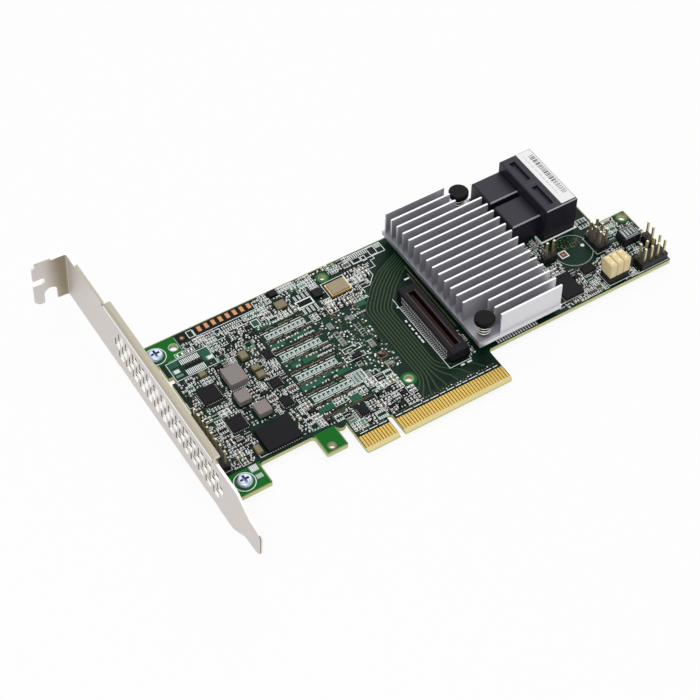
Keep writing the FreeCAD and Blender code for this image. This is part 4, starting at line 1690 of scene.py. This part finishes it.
    def _fine_footprint(self, pile: Pile) -> None:
        """Unpopulated fine-pitch footprint beside the upper screw.

        Args:
            pile: where it goes.
        """
        pile.quad(-47.0, 52.3, -33.3, 59.5, Level.COPPER, "field")
        pile.quad(-47.0, 57.2, -43.6, 59.4, Level.COVER, "jade")
        pile.quad(-36.4, 54.9, -33.4, 59.4, Level.COVER, "jade")
        pile.quad(-42.8, 54.9, -36.6, 56.8, Level.COVER, "shade")
        pile.frame(-47.3, 52.0, -33.0, 59.7, LINE)
        for i in range(12):
            x = -43.0 + i * 0.54
            pile.quad(x, 57.0, x + 0.28, 59.1, Level.PAD, "silk")
            pile.quad(x, 52.5, x + 0.28, 54.7, Level.PAD, "silk")
            if i % 2:
                pile.disc(x + 0.1, 56.4, 0.2, Level.PAD, "brown")
        for x, y in ((-45.6, 55.6), (-34.3, 55.4)):
            pile.quad(x - 1.2, y - 0.9, x + 1.2, y + 0.9, Level.PAD, "pale")
            pile.quad(x - 0.7, y - 0.7, x + 1.0, y + 0.6, Level.SILK, "tin")
        pile.quad(-46.6, 53.2, -44.2, 54.2, Level.PAD, "pale")
        pile.disc(-35.0, 53.0, 0.4, Level.PAD, "brown")

    def _small_outline(self, pile: Pile) -> None:
        """Printed outline of a small package with its pads, left of the oscillator.

        Args:
            pile: where it goes.
        """
        pile.quad(-1.6, 57.2, 4.4, 60.3, Level.COPPER, "shade")
        pile.frame(-1.5, 57.3, 4.3, 60.3, 0.45)
        pile.disc(-1.3, 58.8, 0.55, Level.SILK, "silk")
        for i in range(4):
            x = -0.8 + i * 1.45
            for dx in (0.0, 0.46):
                pile.quad(x + dx, 60.6, x + dx + 0.22, 62.7, Level.PAD, "silk")
                pile.quad(x + dx, 54.4, x + dx + 0.22, 57.0, Level.PAD, "silk")

    def _module(self, pile: Pile) -> None:
        """Outline of the module socket and the lines beside the heat sink.

        Args:
            pile: where they go.
        """
        outline = [(25.3, 45.4), (25.3, 13.1), (32.9, 13.1), (32.9, 18.4)]
        pile.strip(outline, LINE, Level.SILK, "silk")
        pile.disc(24.9, 41.8, 0.36, Level.SILK, "silk")
        pile.disc(34.0, 42.0, 0.3, Level.SILK, "silk")
        pile.disc(34.0, 40.4, 0.3, Level.SILK, "silk")
        for i, length in enumerate((1.0, 0.8, 1.2, 0.9, 1.3, 1.6)):
            y = 35.2 - i * 1.9
            pile.quad(23.8, y, 24.35, y + length, Level.SILK, "silk")
        pile.quad(32.8, 50.0, 34.6, 50.6, Level.SILK, "silk")
        for x, high in ((34.9, 52.0), (35.9, 55.0)):
            pile.quad(x, 26.0, x + 0.22, high, Level.SILK, "tan")
        pile.quad(28.7, 12.0, 30.0, 12.6, Level.SILK, "silk")
        pile.quad(31.0, 12.0, 32.6, 12.6, Level.SILK, "silk")

    def _top_panel(self, pile: Pile) -> None:
        """Printed panel beside the heat sink and its stepped outline.

        Args:
            pile: where it goes.
        """
        pile.frame(22.6, 64.2, 34.6, 68.3, HEAVY)
        for i in range(9):
            pile.quad(23.1 + i * 0.7, 66.4, 23.4 + i * 0.7, 68.0, Level.SILK, "silk")
        pile.quad(23.1, 64.6, 25.6, 66.1, Level.SILK, "shade")
        pile.frame(23.0, 64.5, 25.8, 66.2, LINE)
        pile.frame(29.4, 64.5, 32.0, 68.0, BROAD)
        pile.quad(23.0, 63.4, 28.4, 65.8, Level.COPPER, "shade")
        steps = [(34.5, 64.2), (29.7, 64.2), (29.7, 63.0), (28.2, 63.0), (28.2, 60.1), (25.6, 60.1),
                 (25.6, 57.4), (22.6, 54.3), (19.4, 54.3)]
        pile.strip(steps, LINE, Level.SILK, "silk")
        pile.frame(26.0, 63.8, 27.6, 66.0, BROAD)
        pile.quad(32.2, 66.4, 34.2, 68.0, Level.SILK, "silk_dim")

    def _columns(self, pile: Pile) -> None:
        """Columns of pads and scattered vias between the bands and the traces.

        Args:
            pile: where they go.
        """
        rng = random.Random(9)
        columns = (3.1, 10.5)
        groups = ((23.0, 26.2), (28.0, 30.4), (32.5, 36.0), (37.5, 41.0), (40.9, 43.9),
                  (45.0, 48.0))
        for x in columns:
            for y0, y1 in groups:
                pile.quad(x - 0.85, y0, x + 0.85, y1 - 0.4, Level.COPPER, "silk_dim")
                y = y0 + 0.35
                while y < y1 - 0.6:
                    key = rng.choice(("chip_brown", "tan", "grey_part"))
                    pile.box(x, y, 1.1, 0.5, Level.PAD.value, 0.4, key)
                    y += 0.95
        pile.quad(-0.4, 22.4, 14.8, 50.6, Level.GROUND, "field")
        for _ in range(26):
            x, y = rng.uniform(0.0, 12.6), rng.uniform(22.6, 48.6)
            x1, y1 = x + rng.uniform(0.8, 2.4), y + rng.uniform(0.8, 1.8)
            pile.quad(x, y, x1, y1, Level.PATCH, rng.choice(("shade", "shade", "olive")))
        for _ in range(430):
            x, y = rng.uniform(-0.2, 14.4), rng.uniform(22.5, 50.4)
            if min(abs(x - c) for c in columns) < 1.1 or (9.0 < x < 12.5 and 26.8 < y < 30.3):
                continue
            key = rng.choice(("silk", "silk", "silk", "brown", "rust", "rim_green", "silk_dim"))
            pile.disc(x, y, rng.choice((0.2, 0.26, 0.32)), Level.PAD, key)

    def _middle(self, pile: Pile) -> None:
        """Test spot, outlines and single parts round the columns.

        Args:
            pile: where they go.
        """
        pile.quad(9.3, 27.1, 12.2, 30.0, Level.COPPER, "umber")
        pile.frame(9.3, 27.1, 12.2, 30.0, 0.3, "rust")
        pile.disc(*TEST_SPOT, 0.6, Level.SILK, "copper")
        for i in range(9):
            pile.quad(8.4 + i * 0.85, 45.9, 9.0 + i * 0.85, 46.6, Level.SILK, "silk_dim")
        for outline in ((1.9, 14.4, 9.4, 22.9), (-3.4, 22.6, 2.4, 27.4), (-0.2, 31.2, 6.8, 33.0),
                        (1.0, 34.4, 7.2, 36.4)):
            pile.frame(*outline, LINE)
        for x in (-2.8, -1.5, -0.2, 1.1):
            pile.frame(x, 23.0, x + 1.1, 27.0, THIN)
            pile.quad(x + 0.3, 23.5, x + 0.8, 26.5, Level.COPPER, "pale")
        for x, y, wx, wy, key in ((4.1, 32.1, 2.6, 1.5, "chip_brown"),
                                  (-5.6, 61.7, 3.4, 2.9, "tan"),
                                  (6.5, 59.9, 2.9, 3.2, "chip_brown"),
                                  (-5.4, 67.1, 2.7, 2.3, "chip_brown")):
            pile.box(x, y, wx, wy, Level.PAD.value, 0.85, key)
        pile.frame(9.2, 54.9, 17.4, 62.6, LINE)
        pile.quad(14.6, 48.4, 17.8, 52.2, Level.COPPER, "jade")

    def _tongue(self, pile: Pile) -> None:
        """Printed line and via row over the edge contacts.

        Args:
            pile: where they go.
        """
        rng = random.Random(5)
        for x0, x1 in ((-10.9, -1.6), (1.6, 38.0)):
            x = x0
            while x < x1:
                run = rng.uniform(1.8, 3.2)
                pile.quad(x, 6.45, min(x1, x + run), 6.7, Level.SILK, "silk")
                x += run + 0.5
            x = x0 + 0.5
            while x < x1:
                y = 7.3 + rng.choice((0.0, 0.4))
                pile.disc(x, y, 0.22, Level.PAD, rng.choice(("brown", "tan", "silk")))
                x += 1.0
        for x0, x1 in ((-11.8, -1.2), (1.2, 38.8)):
            pile.quad(x0, 5.75, x1, 6.3, Level.COPPER, "shade")

    def _far_end(self, pile: Pile) -> None:
        """Marks of the far end: round outline, square pad, corner of the connector.

        Args:
            pile: where they go.
        """
        rng = random.Random(41)
        cx, cy = 85.1, 32.5
        pile.disc(cx, cy, 6.5, Level.PATCH, "field", 48)
        pile.ring(cx, cy, 6.42, 6.62, Level.SILK, "silk_dim", 64)
        for _ in range(90):
            angle, reach = rng.uniform(0.1, math.pi - 0.1), rng.uniform(0.8, 6.0)
            x, y = cx + reach * math.cos(angle), 33.4 + 0.85 * reach * math.sin(angle)
            radius = rng.choice((0.14, 0.2))
            pile.disc(x, y, radius, Level.PAD, rng.choice(("brown", "rust", "rim_green")))
        pile.quad(80.6, 31.7, 82.5, 33.5, Level.COPPER, "brown")
        pile.frame(80.1, 31.1, 83.0, 34.0, 0.38)
        pile.disc(81.5, 32.6, 0.45, Level.SILK, "copper")
        pile.disc(89.1, 32.7, 0.65, Level.SILK, "silk", 16)
        corner = [(78.5, 43.8), (78.5, 40.2), (91.9, 40.2), (91.9, 46.0)]
        pile.strip(corner, 0.62, Level.SILK, "silk")
        for x in (92.9, 94.0, 95.1, 96.0):
            pile.quad(x, 38.6, x + 0.55, 42.2, Level.SILK, "silk_dim")
            pile.quad(x, 39.9, x + 0.55, 40.6, Level.TOP_SILK, "shade")
        pile.frame(92.6, 38.4, 96.8, 42.4, LINE)
        for x, y in ((76.4, 35.2), (77.8, 36.6), (79.0, 37.8)):
            pile.strip([(x, y), (x + 2.6, y + 2.8)], LINE, Level.COPPER, "trace")
        pile.frame(68.6, 15.9, 78.0, 26.6, BROAD)
        pile.quad(96.6, 13.4, 108.6, 13.7, Level.SILK, "silk")
        pile.frame(86.0, 14.0, 96.4, 21.2, BROAD)
        self._block_top(pile)

    def _block_top(self, pile: Pile) -> None:
        """Plain frame and bars on top of the shielded block.

        Args:
            pile: where they go.
        """
        for x0, x1 in ((101.0, 101.5), (102.0, 102.7), (103.2, 103.8), (104.4, 105.0)):
            pile.quad(x0, 26.2, x1, 28.8, self.block_z + 0.005, "silk_dim")
        pile.frame(100.8, 25.6, 105.6, 29.4, HEAVY, "silk_dim", self.block_z)

    def _rims(self, pile: Pile) -> None:
        """Bare laminate along the outline.

        Args:
            pile: where it goes.
        """
        for rim in ((-56.2, 68.55, 97.7, 68.9), (97.3, 38.4, 97.7, 68.6),
                    (97.4, 37.75, 109.0, 38.1), (108.9, 13.4, 109.3, 37.9),
                    (-15.95, 5.6, -15.6, 12.6), (-22.9, 5.2, -22.5, 12.6),
                    (-22.4, 5.2, -16.0, 5.65), (-41.7, 5.6, -41.3, 12.8),
                    (-55.8, 5.2, -41.8, 5.5)):
            pile.quad(*rim, Level.COVER, "rim_green")


@dataclass
class ChipTerminals:
    """Rows of small terminals round the flat packages."""

    pitch: float = 0.65
    width: float = 0.3
    reach: float = 0.28
    corner: float = 0.5
    overlap: float = 0.1
    z0: float = 0.03
    z1: float = 0.2

    def build(self, pile: Pile, rects: Sequence[Rect], sides: str = "xy") -> None:
        """Adds them round each package.

        Args:
            pile: where they go.
            rects: the packages in millimetres.
            sides: x for the left and right sides, y for the others.
        """
        deep = self.reach + self.overlap
        half = self.reach / 2
        for x0, y0, x1, y1 in rects:
            if "y" in sides:
                for x in self._places(x0, x1):
                    for y in (y0 - half, y1 + half):
                        pile.box(x, y, self.width, deep, self.z0, self.z1, "solder")
            if "x" in sides:
                for y in self._places(y0, y1):
                    for x in (x0 - half, x1 + half):
                        pile.box(x, y, deep, self.width, self.z0, self.z1, "solder")

    def _places(self, start: float, end: float) -> list[float]:
        """Even places along one side of a package.

        Args:
            start: one end of the side.
            end: the other end.

        Returns:
            The terminals' middles.
        """
        last = int((end - start - self.corner) / self.pitch)
        return [(start + end) / 2 + (i - last / 2) * self.pitch for i in range(last + 1)]


@dataclass
class SocketDetail:
    """Fine contacts, lips and slot lining of the module socket."""

    x: float = 29.8
    half: float = 3.2
    y0: float = 17.2
    y1: float = 42.0
    pitch: float = 0.8
    top: float = 4.4
    lip: float = 1.5
    skin: float = 0.02
    end: float = 0.4
    slot_floor: float = 1.25
    slot_half: float = 1.05
    blade: Point = (0.8, 3.2)

    def build(self, pile: Pile) -> None:
        """Adds the contact rows.

        Args:
            pile: where they go.
        """
        count = int((self.y1 - self.y0) / self.pitch)
        for i in range(count + 1):
            y = self.y0 + i * self.pitch
            for z0, z1 in ((0.9, 1.7), (2.6, 3.4)):
                pile.box(self.x - self.half - 0.06, y, 0.14, 0.26, z0, z1, "tin")
            pile.box(self.x + self.half + 0.42, y, 0.8, 0.34, 0.0, 0.35, "solder")
            for side in (-1, 1):
                x = self.x + side * self.lip
                pile.box(x, y, 0.5, 0.36, self.top, self.top + self.skin, "slot_dot")
        length = self.y1 - self.y0 + 2 * self.end
        middle = (self.y0 + self.y1) / 2
        for side in (-1, 1):
            x = self.x + side * self.lip
            pile.box(x, middle, 0.7, length, self.top - self.skin, self.top + 0.01, "slot_brown")
        x0, x1 = self.x - self.slot_half, self.x + self.slot_half
        pile.quad(x0, self.y0 - self.end, x1, self.y1 + self.end, self.slot_floor, "slot_brown")
        wide, high = self.blade
        pile.box(self.x, middle, wide, length, self.slot_floor, high, "slot_brown")


@dataclass
class ConnectorDetail:
    """Label bars, painted highlight on the top edge, groove and contacts of the cable connector."""

    x0: float = 80.0
    x1: float = 91.8
    y0: float = 40.9
    y1: float = 67.3
    top: float = 12.9
    label_x0: float = 86.1
    label_x1: float = 91.4
    label_t: float = 0.075
    bars: Point = (45.2, 64.6)
    dashes: Point = (46.0, 65.0)
    contacts: int = 14
    contact_pitch: float = 0.6

    def build(self, pile: Pile) -> None:
        """Adds the details.

        Args:
            pile: where they go.
        """
        rng = random.Random(31)
        z = self.top + self.label_t
        y, last = self.bars
        while y < last:
            width = rng.choice((0.18, 0.26, 0.42, 0.6))
            pile.quad(self.label_x1 - 2.3, y, self.label_x1 - 0.5, y + width, z, "print")
            y += width + rng.choice((0.22, 0.35, 0.5))
        y, last = self.dashes
        while y < last:
            run = rng.uniform(0.5, 1.6)
            pile.quad(self.label_x0 + 1.5, y, self.label_x0 + 1.75, y + run, z, "print_dim")
            y += run + 0.5
        # Painted highlight along the top front edge.
        pile.quad(self.x0 + 0.2, self.y0, self.x1, self.y0 + 0.28, self.top + 0.012, "glint")
        mid = (self.y0 + self.y1) / 2
        pile.quad(self.x0 + 0.8, mid - 0.12, 86.0, mid + 0.12, self.top + 0.01, "wafer")
        for y in (self.y0 + 1.5, mid + 0.75):
            for i in range(self.contacts):
                pile.box(87.0, y + 1.9 + i * self.contact_pitch, 6.6, 0.28, 6.95, 7.0, "gold")


@dataclass
class SpringPiece:
    """Round-wire coil spring in place of the faceted one."""

    node: str
    wire: float = 0.27
    turns: float = 4.0
    per_turn: int = 40
    sides: int = 12

    def build(self, palette: Palette) -> None:
        """Makes the spring.

        Args:
            palette: the finishes.
        """
        low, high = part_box(self.node)
        cx, cy = (low[0] + high[0]) / 2 / MM, (low[1] + high[1]) / 2 / MM
        radius = (high[0] - low[0]) / 2 / MM - self.wire
        z0, z1 = low[2] / MM + self.wire, high[2] / MM - self.wire
        upward = Vector((0, 0, 1))
        verts: list[Vector] = []
        faces: list[tuple[int, ...]] = []
        steps = int(self.turns * self.per_turn)
        for i in range(steps + 1):
            turn = 2 * math.pi * i / self.per_turn
            out = Vector((math.cos(turn), math.sin(turn), 0))
            centre = Vector((cx, cy, z0 + (z1 - z0) * i / steps)) + out * radius
            for k in range(self.sides):
                angle = 2 * math.pi * k / self.sides
                point = centre + (out * math.cos(angle) + upward * math.sin(angle)) * self.wire
                verts.append(point * MM)
        for i in range(steps):
            for k in range(self.sides):
                a, b = i * self.sides + k, i * self.sides + (k + 1) % self.sides
                faces.append((a, a + self.sides, b + self.sides, b))
        faces.append(tuple(range(self.sides)))
        faces.append(tuple(reversed(range(steps * self.sides, (steps + 1) * self.sides))))
        mesh = bpy.data.meshes.new(self.node + "_wire")
        mesh.from_pydata(verts, [], faces)
        mesh.materials.append(palette["spring"])
        mesh.polygons.foreach_set("use_smooth", [True] * len(mesh.polygons))
        mesh.update()
        made = bpy.data.objects.new(self.node + "_wire", mesh)
        bpy.context.scene.collection.objects.link(made)
        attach(made, "root")
        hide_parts(self.node)
        LOG.info("%s: %d faces", made.name, len(faces))


@dataclass
class BackFace:
    """Plain dressing of the solder side."""

    pin_pitch: float = 2.54
    pin_half: float = 0.32
    pin_ring: Point = (0.42, 0.85)
    header_room: float = 0.8
    bare: tuple[Rect, ...] = ((-58.5, 4.0, -43.0, 15.0), (-58.5, 58.0, -43.0, 69.0))
    rounds: tuple[Triple, ...] = ((*HOLE_SCREW, 2.4), (*HOLE_TOP, 2.2), (*HOLE_LOW, 2.4),
                                 (*HOLE_FAR, 2.4), (39.9, 17.1, 2.8), (62.8, 65.1, 2.8))
    areas: tuple[Rect, ...] = ((-40.0, 16.0, -26.0, 58.0), (34.0, 18.0, 68.0, 62.0),
                               (72.0, 16.0, 96.0, 60.0), (-22.0, 50.0, 32.0, 62.0),
                               (-22.0, 15.0, 32.0, 26.0))
    first_seed: int = 200

    def build(self, palette: Palette) -> None:
        """Adds pads, vias and small parts round the memory packages.

        Args:
            palette: the finishes.
        """
        pile = Pile("back_details", palette, Side.BACK)
        pins = [f"{name}_pins" for name in HEADERS]
        taken = Footprints()
        taken.add_nodes([f"memory_chip_{i}" for i in range(1, 6)], 0.5)
        taken.add_nodes(["decoupling_back"], 0.0)
        taken.add(*self.bare)
        for spot in self.rounds:
            taken.add_round(*spot)
        taken.add_nodes(pins, self.header_room)
        kinds = (Kind.VIAS, Kind.LONE, Kind.VIAS, Kind.VIAS)
        for number, rect in enumerate(self.areas):
            PassiveField(rect, self.first_seed + number, kinds, block=(4.2, 3.6), cover=0.0,
                         filler=0.12).build(pile, taken)
        for name in pins:
            self._joints(pile, plan(name))
        screw_rings(pile)
        pile.build("tin_lead")

    def _joints(self, pile: Pile, rect: Rect) -> None:
        """Solder ring round each pin of one header.

        Args:
            pile: where they go.
            rect: the outline of the header's pins.
        """
        x0, y0, x1, y1 = rect
        for i in range(round((x1 - x0) / self.pin_pitch) + 1):
            for j in range(round((y1 - y0) / self.pin_pitch) + 1):
                x = x0 + self.pin_half + i * self.pin_pitch
                y = y0 + self.pin_half + j * self.pin_pitch
                pile.ring(x, y, *self.pin_ring, Level.PAD, "solder", 14)


@dataclass
class HeaderDetail:
    """Printed outline round the lamp header and round the cluster header."""

    nodes: tuple[str, ...] = ("lamp_header_pins", "cluster_header_pins")
    room: float = 1.2

    def build(self, pile: Pile) -> None:
        """Adds them.

        Args:
            pile: where they go.
        """
        for node in self.nodes:
            x0, y0, x1, y1 = plan(node)
            pile.frame(x0 - self.room, y0 - self.room, x1 + self.room, y1 + self.room, HAIR)


@dataclass
class Finishes:
    """Which finish each CAD node takes."""

    plain: dict[str, str] = field(default_factory=lambda: {
        "circuit_board": "mask", "edge_contacts_front": "gold", "edge_contacts_back": "gold",
        "mounting_bracket": "steel", "bracket_screws": "screw", "heat_sink": "sink",
        "controller_lid": "lid", "thermal_pad": "pad_grey", "push_pin_near": "pin_black",
        "push_pin_far": "pin_black", "cable_connector": "moulding", "port_wafer_1": "wafer",
        "port_wafer_2": "wafer", "port_label": "label", "mezzanine_housing": "socket",
        "mezzanine_leads": "solder", "oscillator_base": "rim", "oscillator_lid": "lid",
        "tan_capacitors": "tan", "decoupling_front": "chip_brown", "decoupling_back": "tan",
        "jumper_caps": "cap", "shielded_block": "moulding", "inductor_1": "ferrite",
        "inductor_2": "ferrite", "inductor_3": "ferrite"})
    endings: dict[str, str] = field(default_factory=lambda: {"_body": "header", "_pins": "pin"})
    other: str = "chip"

    def build(self, palette: Palette, nodes: Iterable[str]) -> None:
        """Dresses every node.

        Args:
            palette: the finishes.
            nodes: the frame's nodes.
        """
        for node in nodes:
            ending = node[node.rfind("_"):]
            key = self.plain.get(node) or self.endings.get(ending, self.other)
            palette.dress(node, key)
            LOG.info("%s: %s", node, key)


@dataclass
class Studio:
    """Camera, floor, lamps and white surroundings."""

    place: Triple = (-184.6716, -268.8229, 437.4715)
    right: Triple = (0.849528, -0.527541, -0.001467)
    up: Triple = (0.409296, 0.657351, 0.632745)
    lens: float = 95.417
    sensor: float = 36.0
    nearest: float = 0.01
    farthest: float = 20.0
    floor_z: float = -3.35
    floor_half: float = 3.0
    floor_glow: float = 0.9
    key_place: Triple = (-0.25, -0.15, 0.85)
    key_size: float = 0.7
    key_power: float = 3.2
    rim_place: Triple = (0.45, 0.55, 0.6)
    rim_size: float = 0.6
    rim_share: float = 0.45
    fill: float = 0.55
    aim: Triple = (0.02, 0.035, 0.0)
    rays: tuple[str, ...] = ("Is Camera Ray", "Is Glossy Ray", "Is Transmission Ray")

    def build(self) -> None:
        """Sets the stage."""
        bpy.context.scene.view_settings.view_transform = "Standard"
        self._camera()
        self._floor()
        self._world()
        self._lamp("key", self.key_place, self.key_size, self.key_power)
        self._lamp("rim", self.rim_place, self.rim_size, self.key_power * self.rim_share)

    def _camera(self) -> None:
        """Makes the camera at the photograph's angle."""
        data = bpy.data.cameras.new("camera")
        data.lens = self.lens
        data.sensor_width = self.sensor
        data.clip_start = self.nearest
        data.clip_end = self.farthest
        made = bpy.data.objects.new("camera", data)
        right, up = Vector(self.right).normalized(), Vector(self.up).normalized()
        back = right.cross(up).normalized()
        matrix = Matrix((right, up, back)).transposed().to_4x4()
        matrix.translation = Vector(self.place) * MM
        made.matrix_world = matrix
        bpy.context.scene.collection.objects.link(made)
        bpy.context.scene.camera = made

    def _floor(self) -> None:
        """Plain pale floor that shows almost white and keeps a faint shadow."""
        graph = Graph(bpy.data.materials.new("floor"))
        seen = self._seen(graph)
        paint = graph.node("ShaderNodeBsdfDiffuse", {}, {"Color": (0.9, 0.9, 0.9)})
        light = graph.node("ShaderNodeEmission", {}, {"Color": (1.0, 1.0, 1.0), "Strength": 1.0})
        join = graph.node("ShaderNodeMixShader", {},
                          {0: seen * self.floor_glow, 1: paint.outputs[0], 2: light.outputs[0]})
        mesh = bpy.data.meshes.new("floor")
        half, z = self.floor_half, self.floor_z * MM
        corners = [(-half, -half, z), (half, -half, z), (half, half, z), (-half, half, z)]
        mesh.from_pydata(corners, [], [(0, 1, 2, 3)])
        mesh.materials.append(graph.end(join))
        made = bpy.data.objects.new("floor", mesh)
        bpy.context.scene.collection.objects.link(made)

    def _world(self) -> None:
        """White surroundings with a softer light on the object."""
        world = bpy.data.worlds.new("world")
        bpy.context.scene.world = world
        graph = Graph(world)
        white = {"Color": (1.0, 1.0, 1.0)}
        soft = graph.node("ShaderNodeBackground", {}, {**white, "Strength": self.fill})
        plain = graph.node("ShaderNodeBackground", {}, {**white, "Strength": 1.0})
        graph.end(graph.node("ShaderNodeMixShader", {},
                             {0: self._seen(graph), 1: soft.outputs[0], 2: plain.outputs[0]}))

    def _seen(self, graph: Graph) -> Value:
        """One for rays that show the surroundings, and zero for rays that light the object.

        Args:
            graph: the nodes' owner.

        Returns:
            Zero or one.
        """
        path = graph.node("ShaderNodeLightPath")
        return graph.any_of([Value(graph, path.outputs[name]) for name in self.rays])

    def _lamp(self, name: str, place: Triple, size: float, power: float) -> None:
        """Adds one soft square lamp that faces the card.

        Args:
            name: its name.
            place: where it hangs, in metres.
            size: its side.
            power: its watts.
        """
        data = bpy.data.lights.new(name, "AREA")
        data.shape = "SQUARE"
        data.size = size
        data.energy = power
        made = bpy.data.objects.new(name, data)
        made.location = place
        aim = Vector(self.aim) - Vector(place)
        made.rotation_euler = aim.to_track_quat("-Z", "Y").to_euler()
        bpy.context.scene.collection.objects.link(made)


@dataclass
class Card:
    """The whole card: CAD pieces with their finishes and all the small details."""

    palette: Palette
    frame: dict[str, Any]
    room: float = 0.9
    clearance: float = 0.35
    large: tuple[str, ...] = (
        "flash_memory", "logic_chip", "sensor_chip", "shielded_block", "inductor_1", "inductor_2",
        "inductor_3", "oscillator_base", "heat_sink", "mezzanine_housing")
    kept: tuple[Rect, ...] = (
        (-16.9, 16.6, 0.0, 17.5), (-16.8, 18.9, -11.8, 20.6), (-6.4, 17.7, -3.2, 19.6),
        (-26.1, 61.1, -19.3, 64.3), (-17.3, 58.0, -14.3, 61.3), (-43.3, 60.0, -36.5, 61.9),
        (-57.0, 60.4, -40.2, 69.0), (-57.0, 4.0, -41.0, 13.9), (-34.0, 64.3, -12.6, 69.0),
        (-47.4, 51.9, -32.8, 59.8), (-1.7, 54.2, 5.2, 63.0), (68.8, 43.6, 92.2, 67.4),
        (78.6, 40.0, 97.4, 68.6), (4.6, 58.0, 8.3, 61.8), (-7.6, 60.0, -3.6, 63.4),
        (-7.0, 65.7, -3.8, 68.5), (22.4, 63.2, 34.8, 68.4), (78.6, 26.0, 92.0, 39.4),
        (-24.0, 4.0, -15.0, 13.6), (-57.0, 39.0, -48.0, 60.4))
    rounds: tuple[Triple, ...] = ((*HOLE_TOP, 2.1), (*HOLE_LOW, 2.1), (*HOLE_FAR, 2.3),
                                 (*TEST_SPOT, 1.6))

    def build(self) -> None:
        """Dresses the card."""
        Finishes().build(self.palette, self.frame["nodes"])
        self._front()
        for node in ("pin_spring_near", "pin_spring_far"):
            SpringPiece(node).build(self.palette)
        BackFace().build(self.palette)

    def _front(self) -> None:
        """Builds the component side's details."""
        taken = self._ground()
        board = Pile("board_print", self.palette)
        TraceBundle().build(board)
        BoardPrint().build(board)
        MemoryBands().build(board, taken)
        board.build("solder_mask")
        parts = Pile("small_parts", self.palette)
        for area in self._fields():
            area.build(parts, taken)
        parts.build("ceramic_tan")
        fine = Pile("terminals", self.palette)
        ChipTerminals().build(fine, [self._rect(*chip) for chip in CHIPS + FAR_CHIPS])
        ChipTerminals(0.8, 0.4).build(fine, [self._rect(*FLASH)], "y")
        SocketDetail().build(fine)
        ConnectorDetail().build(fine)
        HeaderDetail().build(fine)
        fine.build("tin_lead")

    def _rect(self, x: float, y: float, wx: float, wy: float) -> Rect:
        """Rectangle from its middle.

        Args:
            x: middle along the board.
            y: middle across the board.
            wx: width along X.
            wy: width along Y.

        Returns:
            Its corners.
        """
        return (x - wx / 2, y - wy / 2, x + wx / 2, y + wy / 2)

    def _ground(self) -> Footprints:
        """Ground that the parts with a known place take.

        Returns:
            The footprints.
        """
        bodies = [f"{name}_body" for name in HEADERS]
        taken = Footprints()
        taken.add_nodes([*self.large, *bodies], self.clearance)
        taken.add(*[self._rect(x, y, wx + self.room, wy + self.room)
                    for x, y, wx, wy in CHIPS + TAN_PARTS])
        taken.add(*self.kept)
        for spot in self.rounds:
            taken.add_round(*spot)
        return taken

    def _fields(self) -> list[PassiveField]:
        """Crowded fields of the component side.

        Returns:
            The fields.
        """
        busy = (Kind.ROW, Kind.BOXED, Kind.BOXED, Kind.LONE, Kind.TRIPLE, Kind.ARRAY, Kind.PADS)
        loose = (Kind.ROW, Kind.VIAS, Kind.VIAS, Kind.BOXED, Kind.LONE)
        holes = (Kind.VIAS, Kind.VIAS, Kind.VIAS, Kind.TRIPLE)
        mixed = (Kind.VIAS, Kind.VIAS, Kind.TRIPLE, Kind.ROW, Kind.LONE)
        return [
            PassiveField((-49.0, 25.0, -17.2, 51.6), 41, filler=2.2),
            PassiveField((-49.0, 14.4, -36.6, 25.0), 29, filler=2.4),
            PassiveField((-25.4, 14.4, -17.2, 25.0), 30, filler=1.2),
            PassiveField((-32.8, 51.6, -26.0, 59.6), 12, mixed),
            PassiveField((-26.0, 51.6, -17.2, 60.6), 28, holes, filler=0.6),
            PassiveField((-44.0, 59.8, -17.2, 64.2), 13, loose, cover=1.0, filler=0.5),
            PassiveField((-17.2, 56.8, 9.0, 64.2), 14, busy),
            PassiveField((-12.4, 64.2, 22.4, 68.5), 15, busy),
            PassiveField((-0.4, 50.4, 20.0, 56.6), 16, busy),
            PassiveField((-17.2, 13.6, 0.0, 21.4), 17, filler=1.8),
            PassiveField((-11.6, 7.8, 12.4, 14.2), 18, cover=0.9, filler=1.4),
            PassiveField((0.4, 14.6, 10.0, 22.8), 19, busy),
            PassiveField((17.4, 57.0, 22.4, 63.0), 20, busy),
            PassiveField((22.4, 60.2, 27.4, 63.4), 31, busy),
            PassiveField((19.8, 55.2, 23.2, 57.2), 32, busy),
            PassiveField((22.4, 57.4, 25.2, 60.2), 33, busy),
            PassiveField((66.8, 13.6, 109.0, 16.6), 21, busy),
            PassiveField((67.0, 26.6, 79.0, 43.0), 22, loose),
            PassiveField((77.8, 16.4, 97.6, 26.4), 23, busy),
            PassiveField((92.4, 20.0, 109.0, 37.8), 24),
            PassiveField((33.2, 14.0, 36.0, 25.0), 26, loose),
            PassiveField((68.0, 67.6, 97.4, 68.7), 27, (Kind.VIAS, Kind.ROW), block=(3.0, 1.1),
                         cover=0.0),
        ]


def main() -> None:
    """Builds the card and its stage in order."""
    logging.basicConfig(level=logging.INFO, format="%(message)s")
    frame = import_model()
    Card(Palette().build(), frame).build()
    Studio().build()


if __name__ == "__main__":
    main()
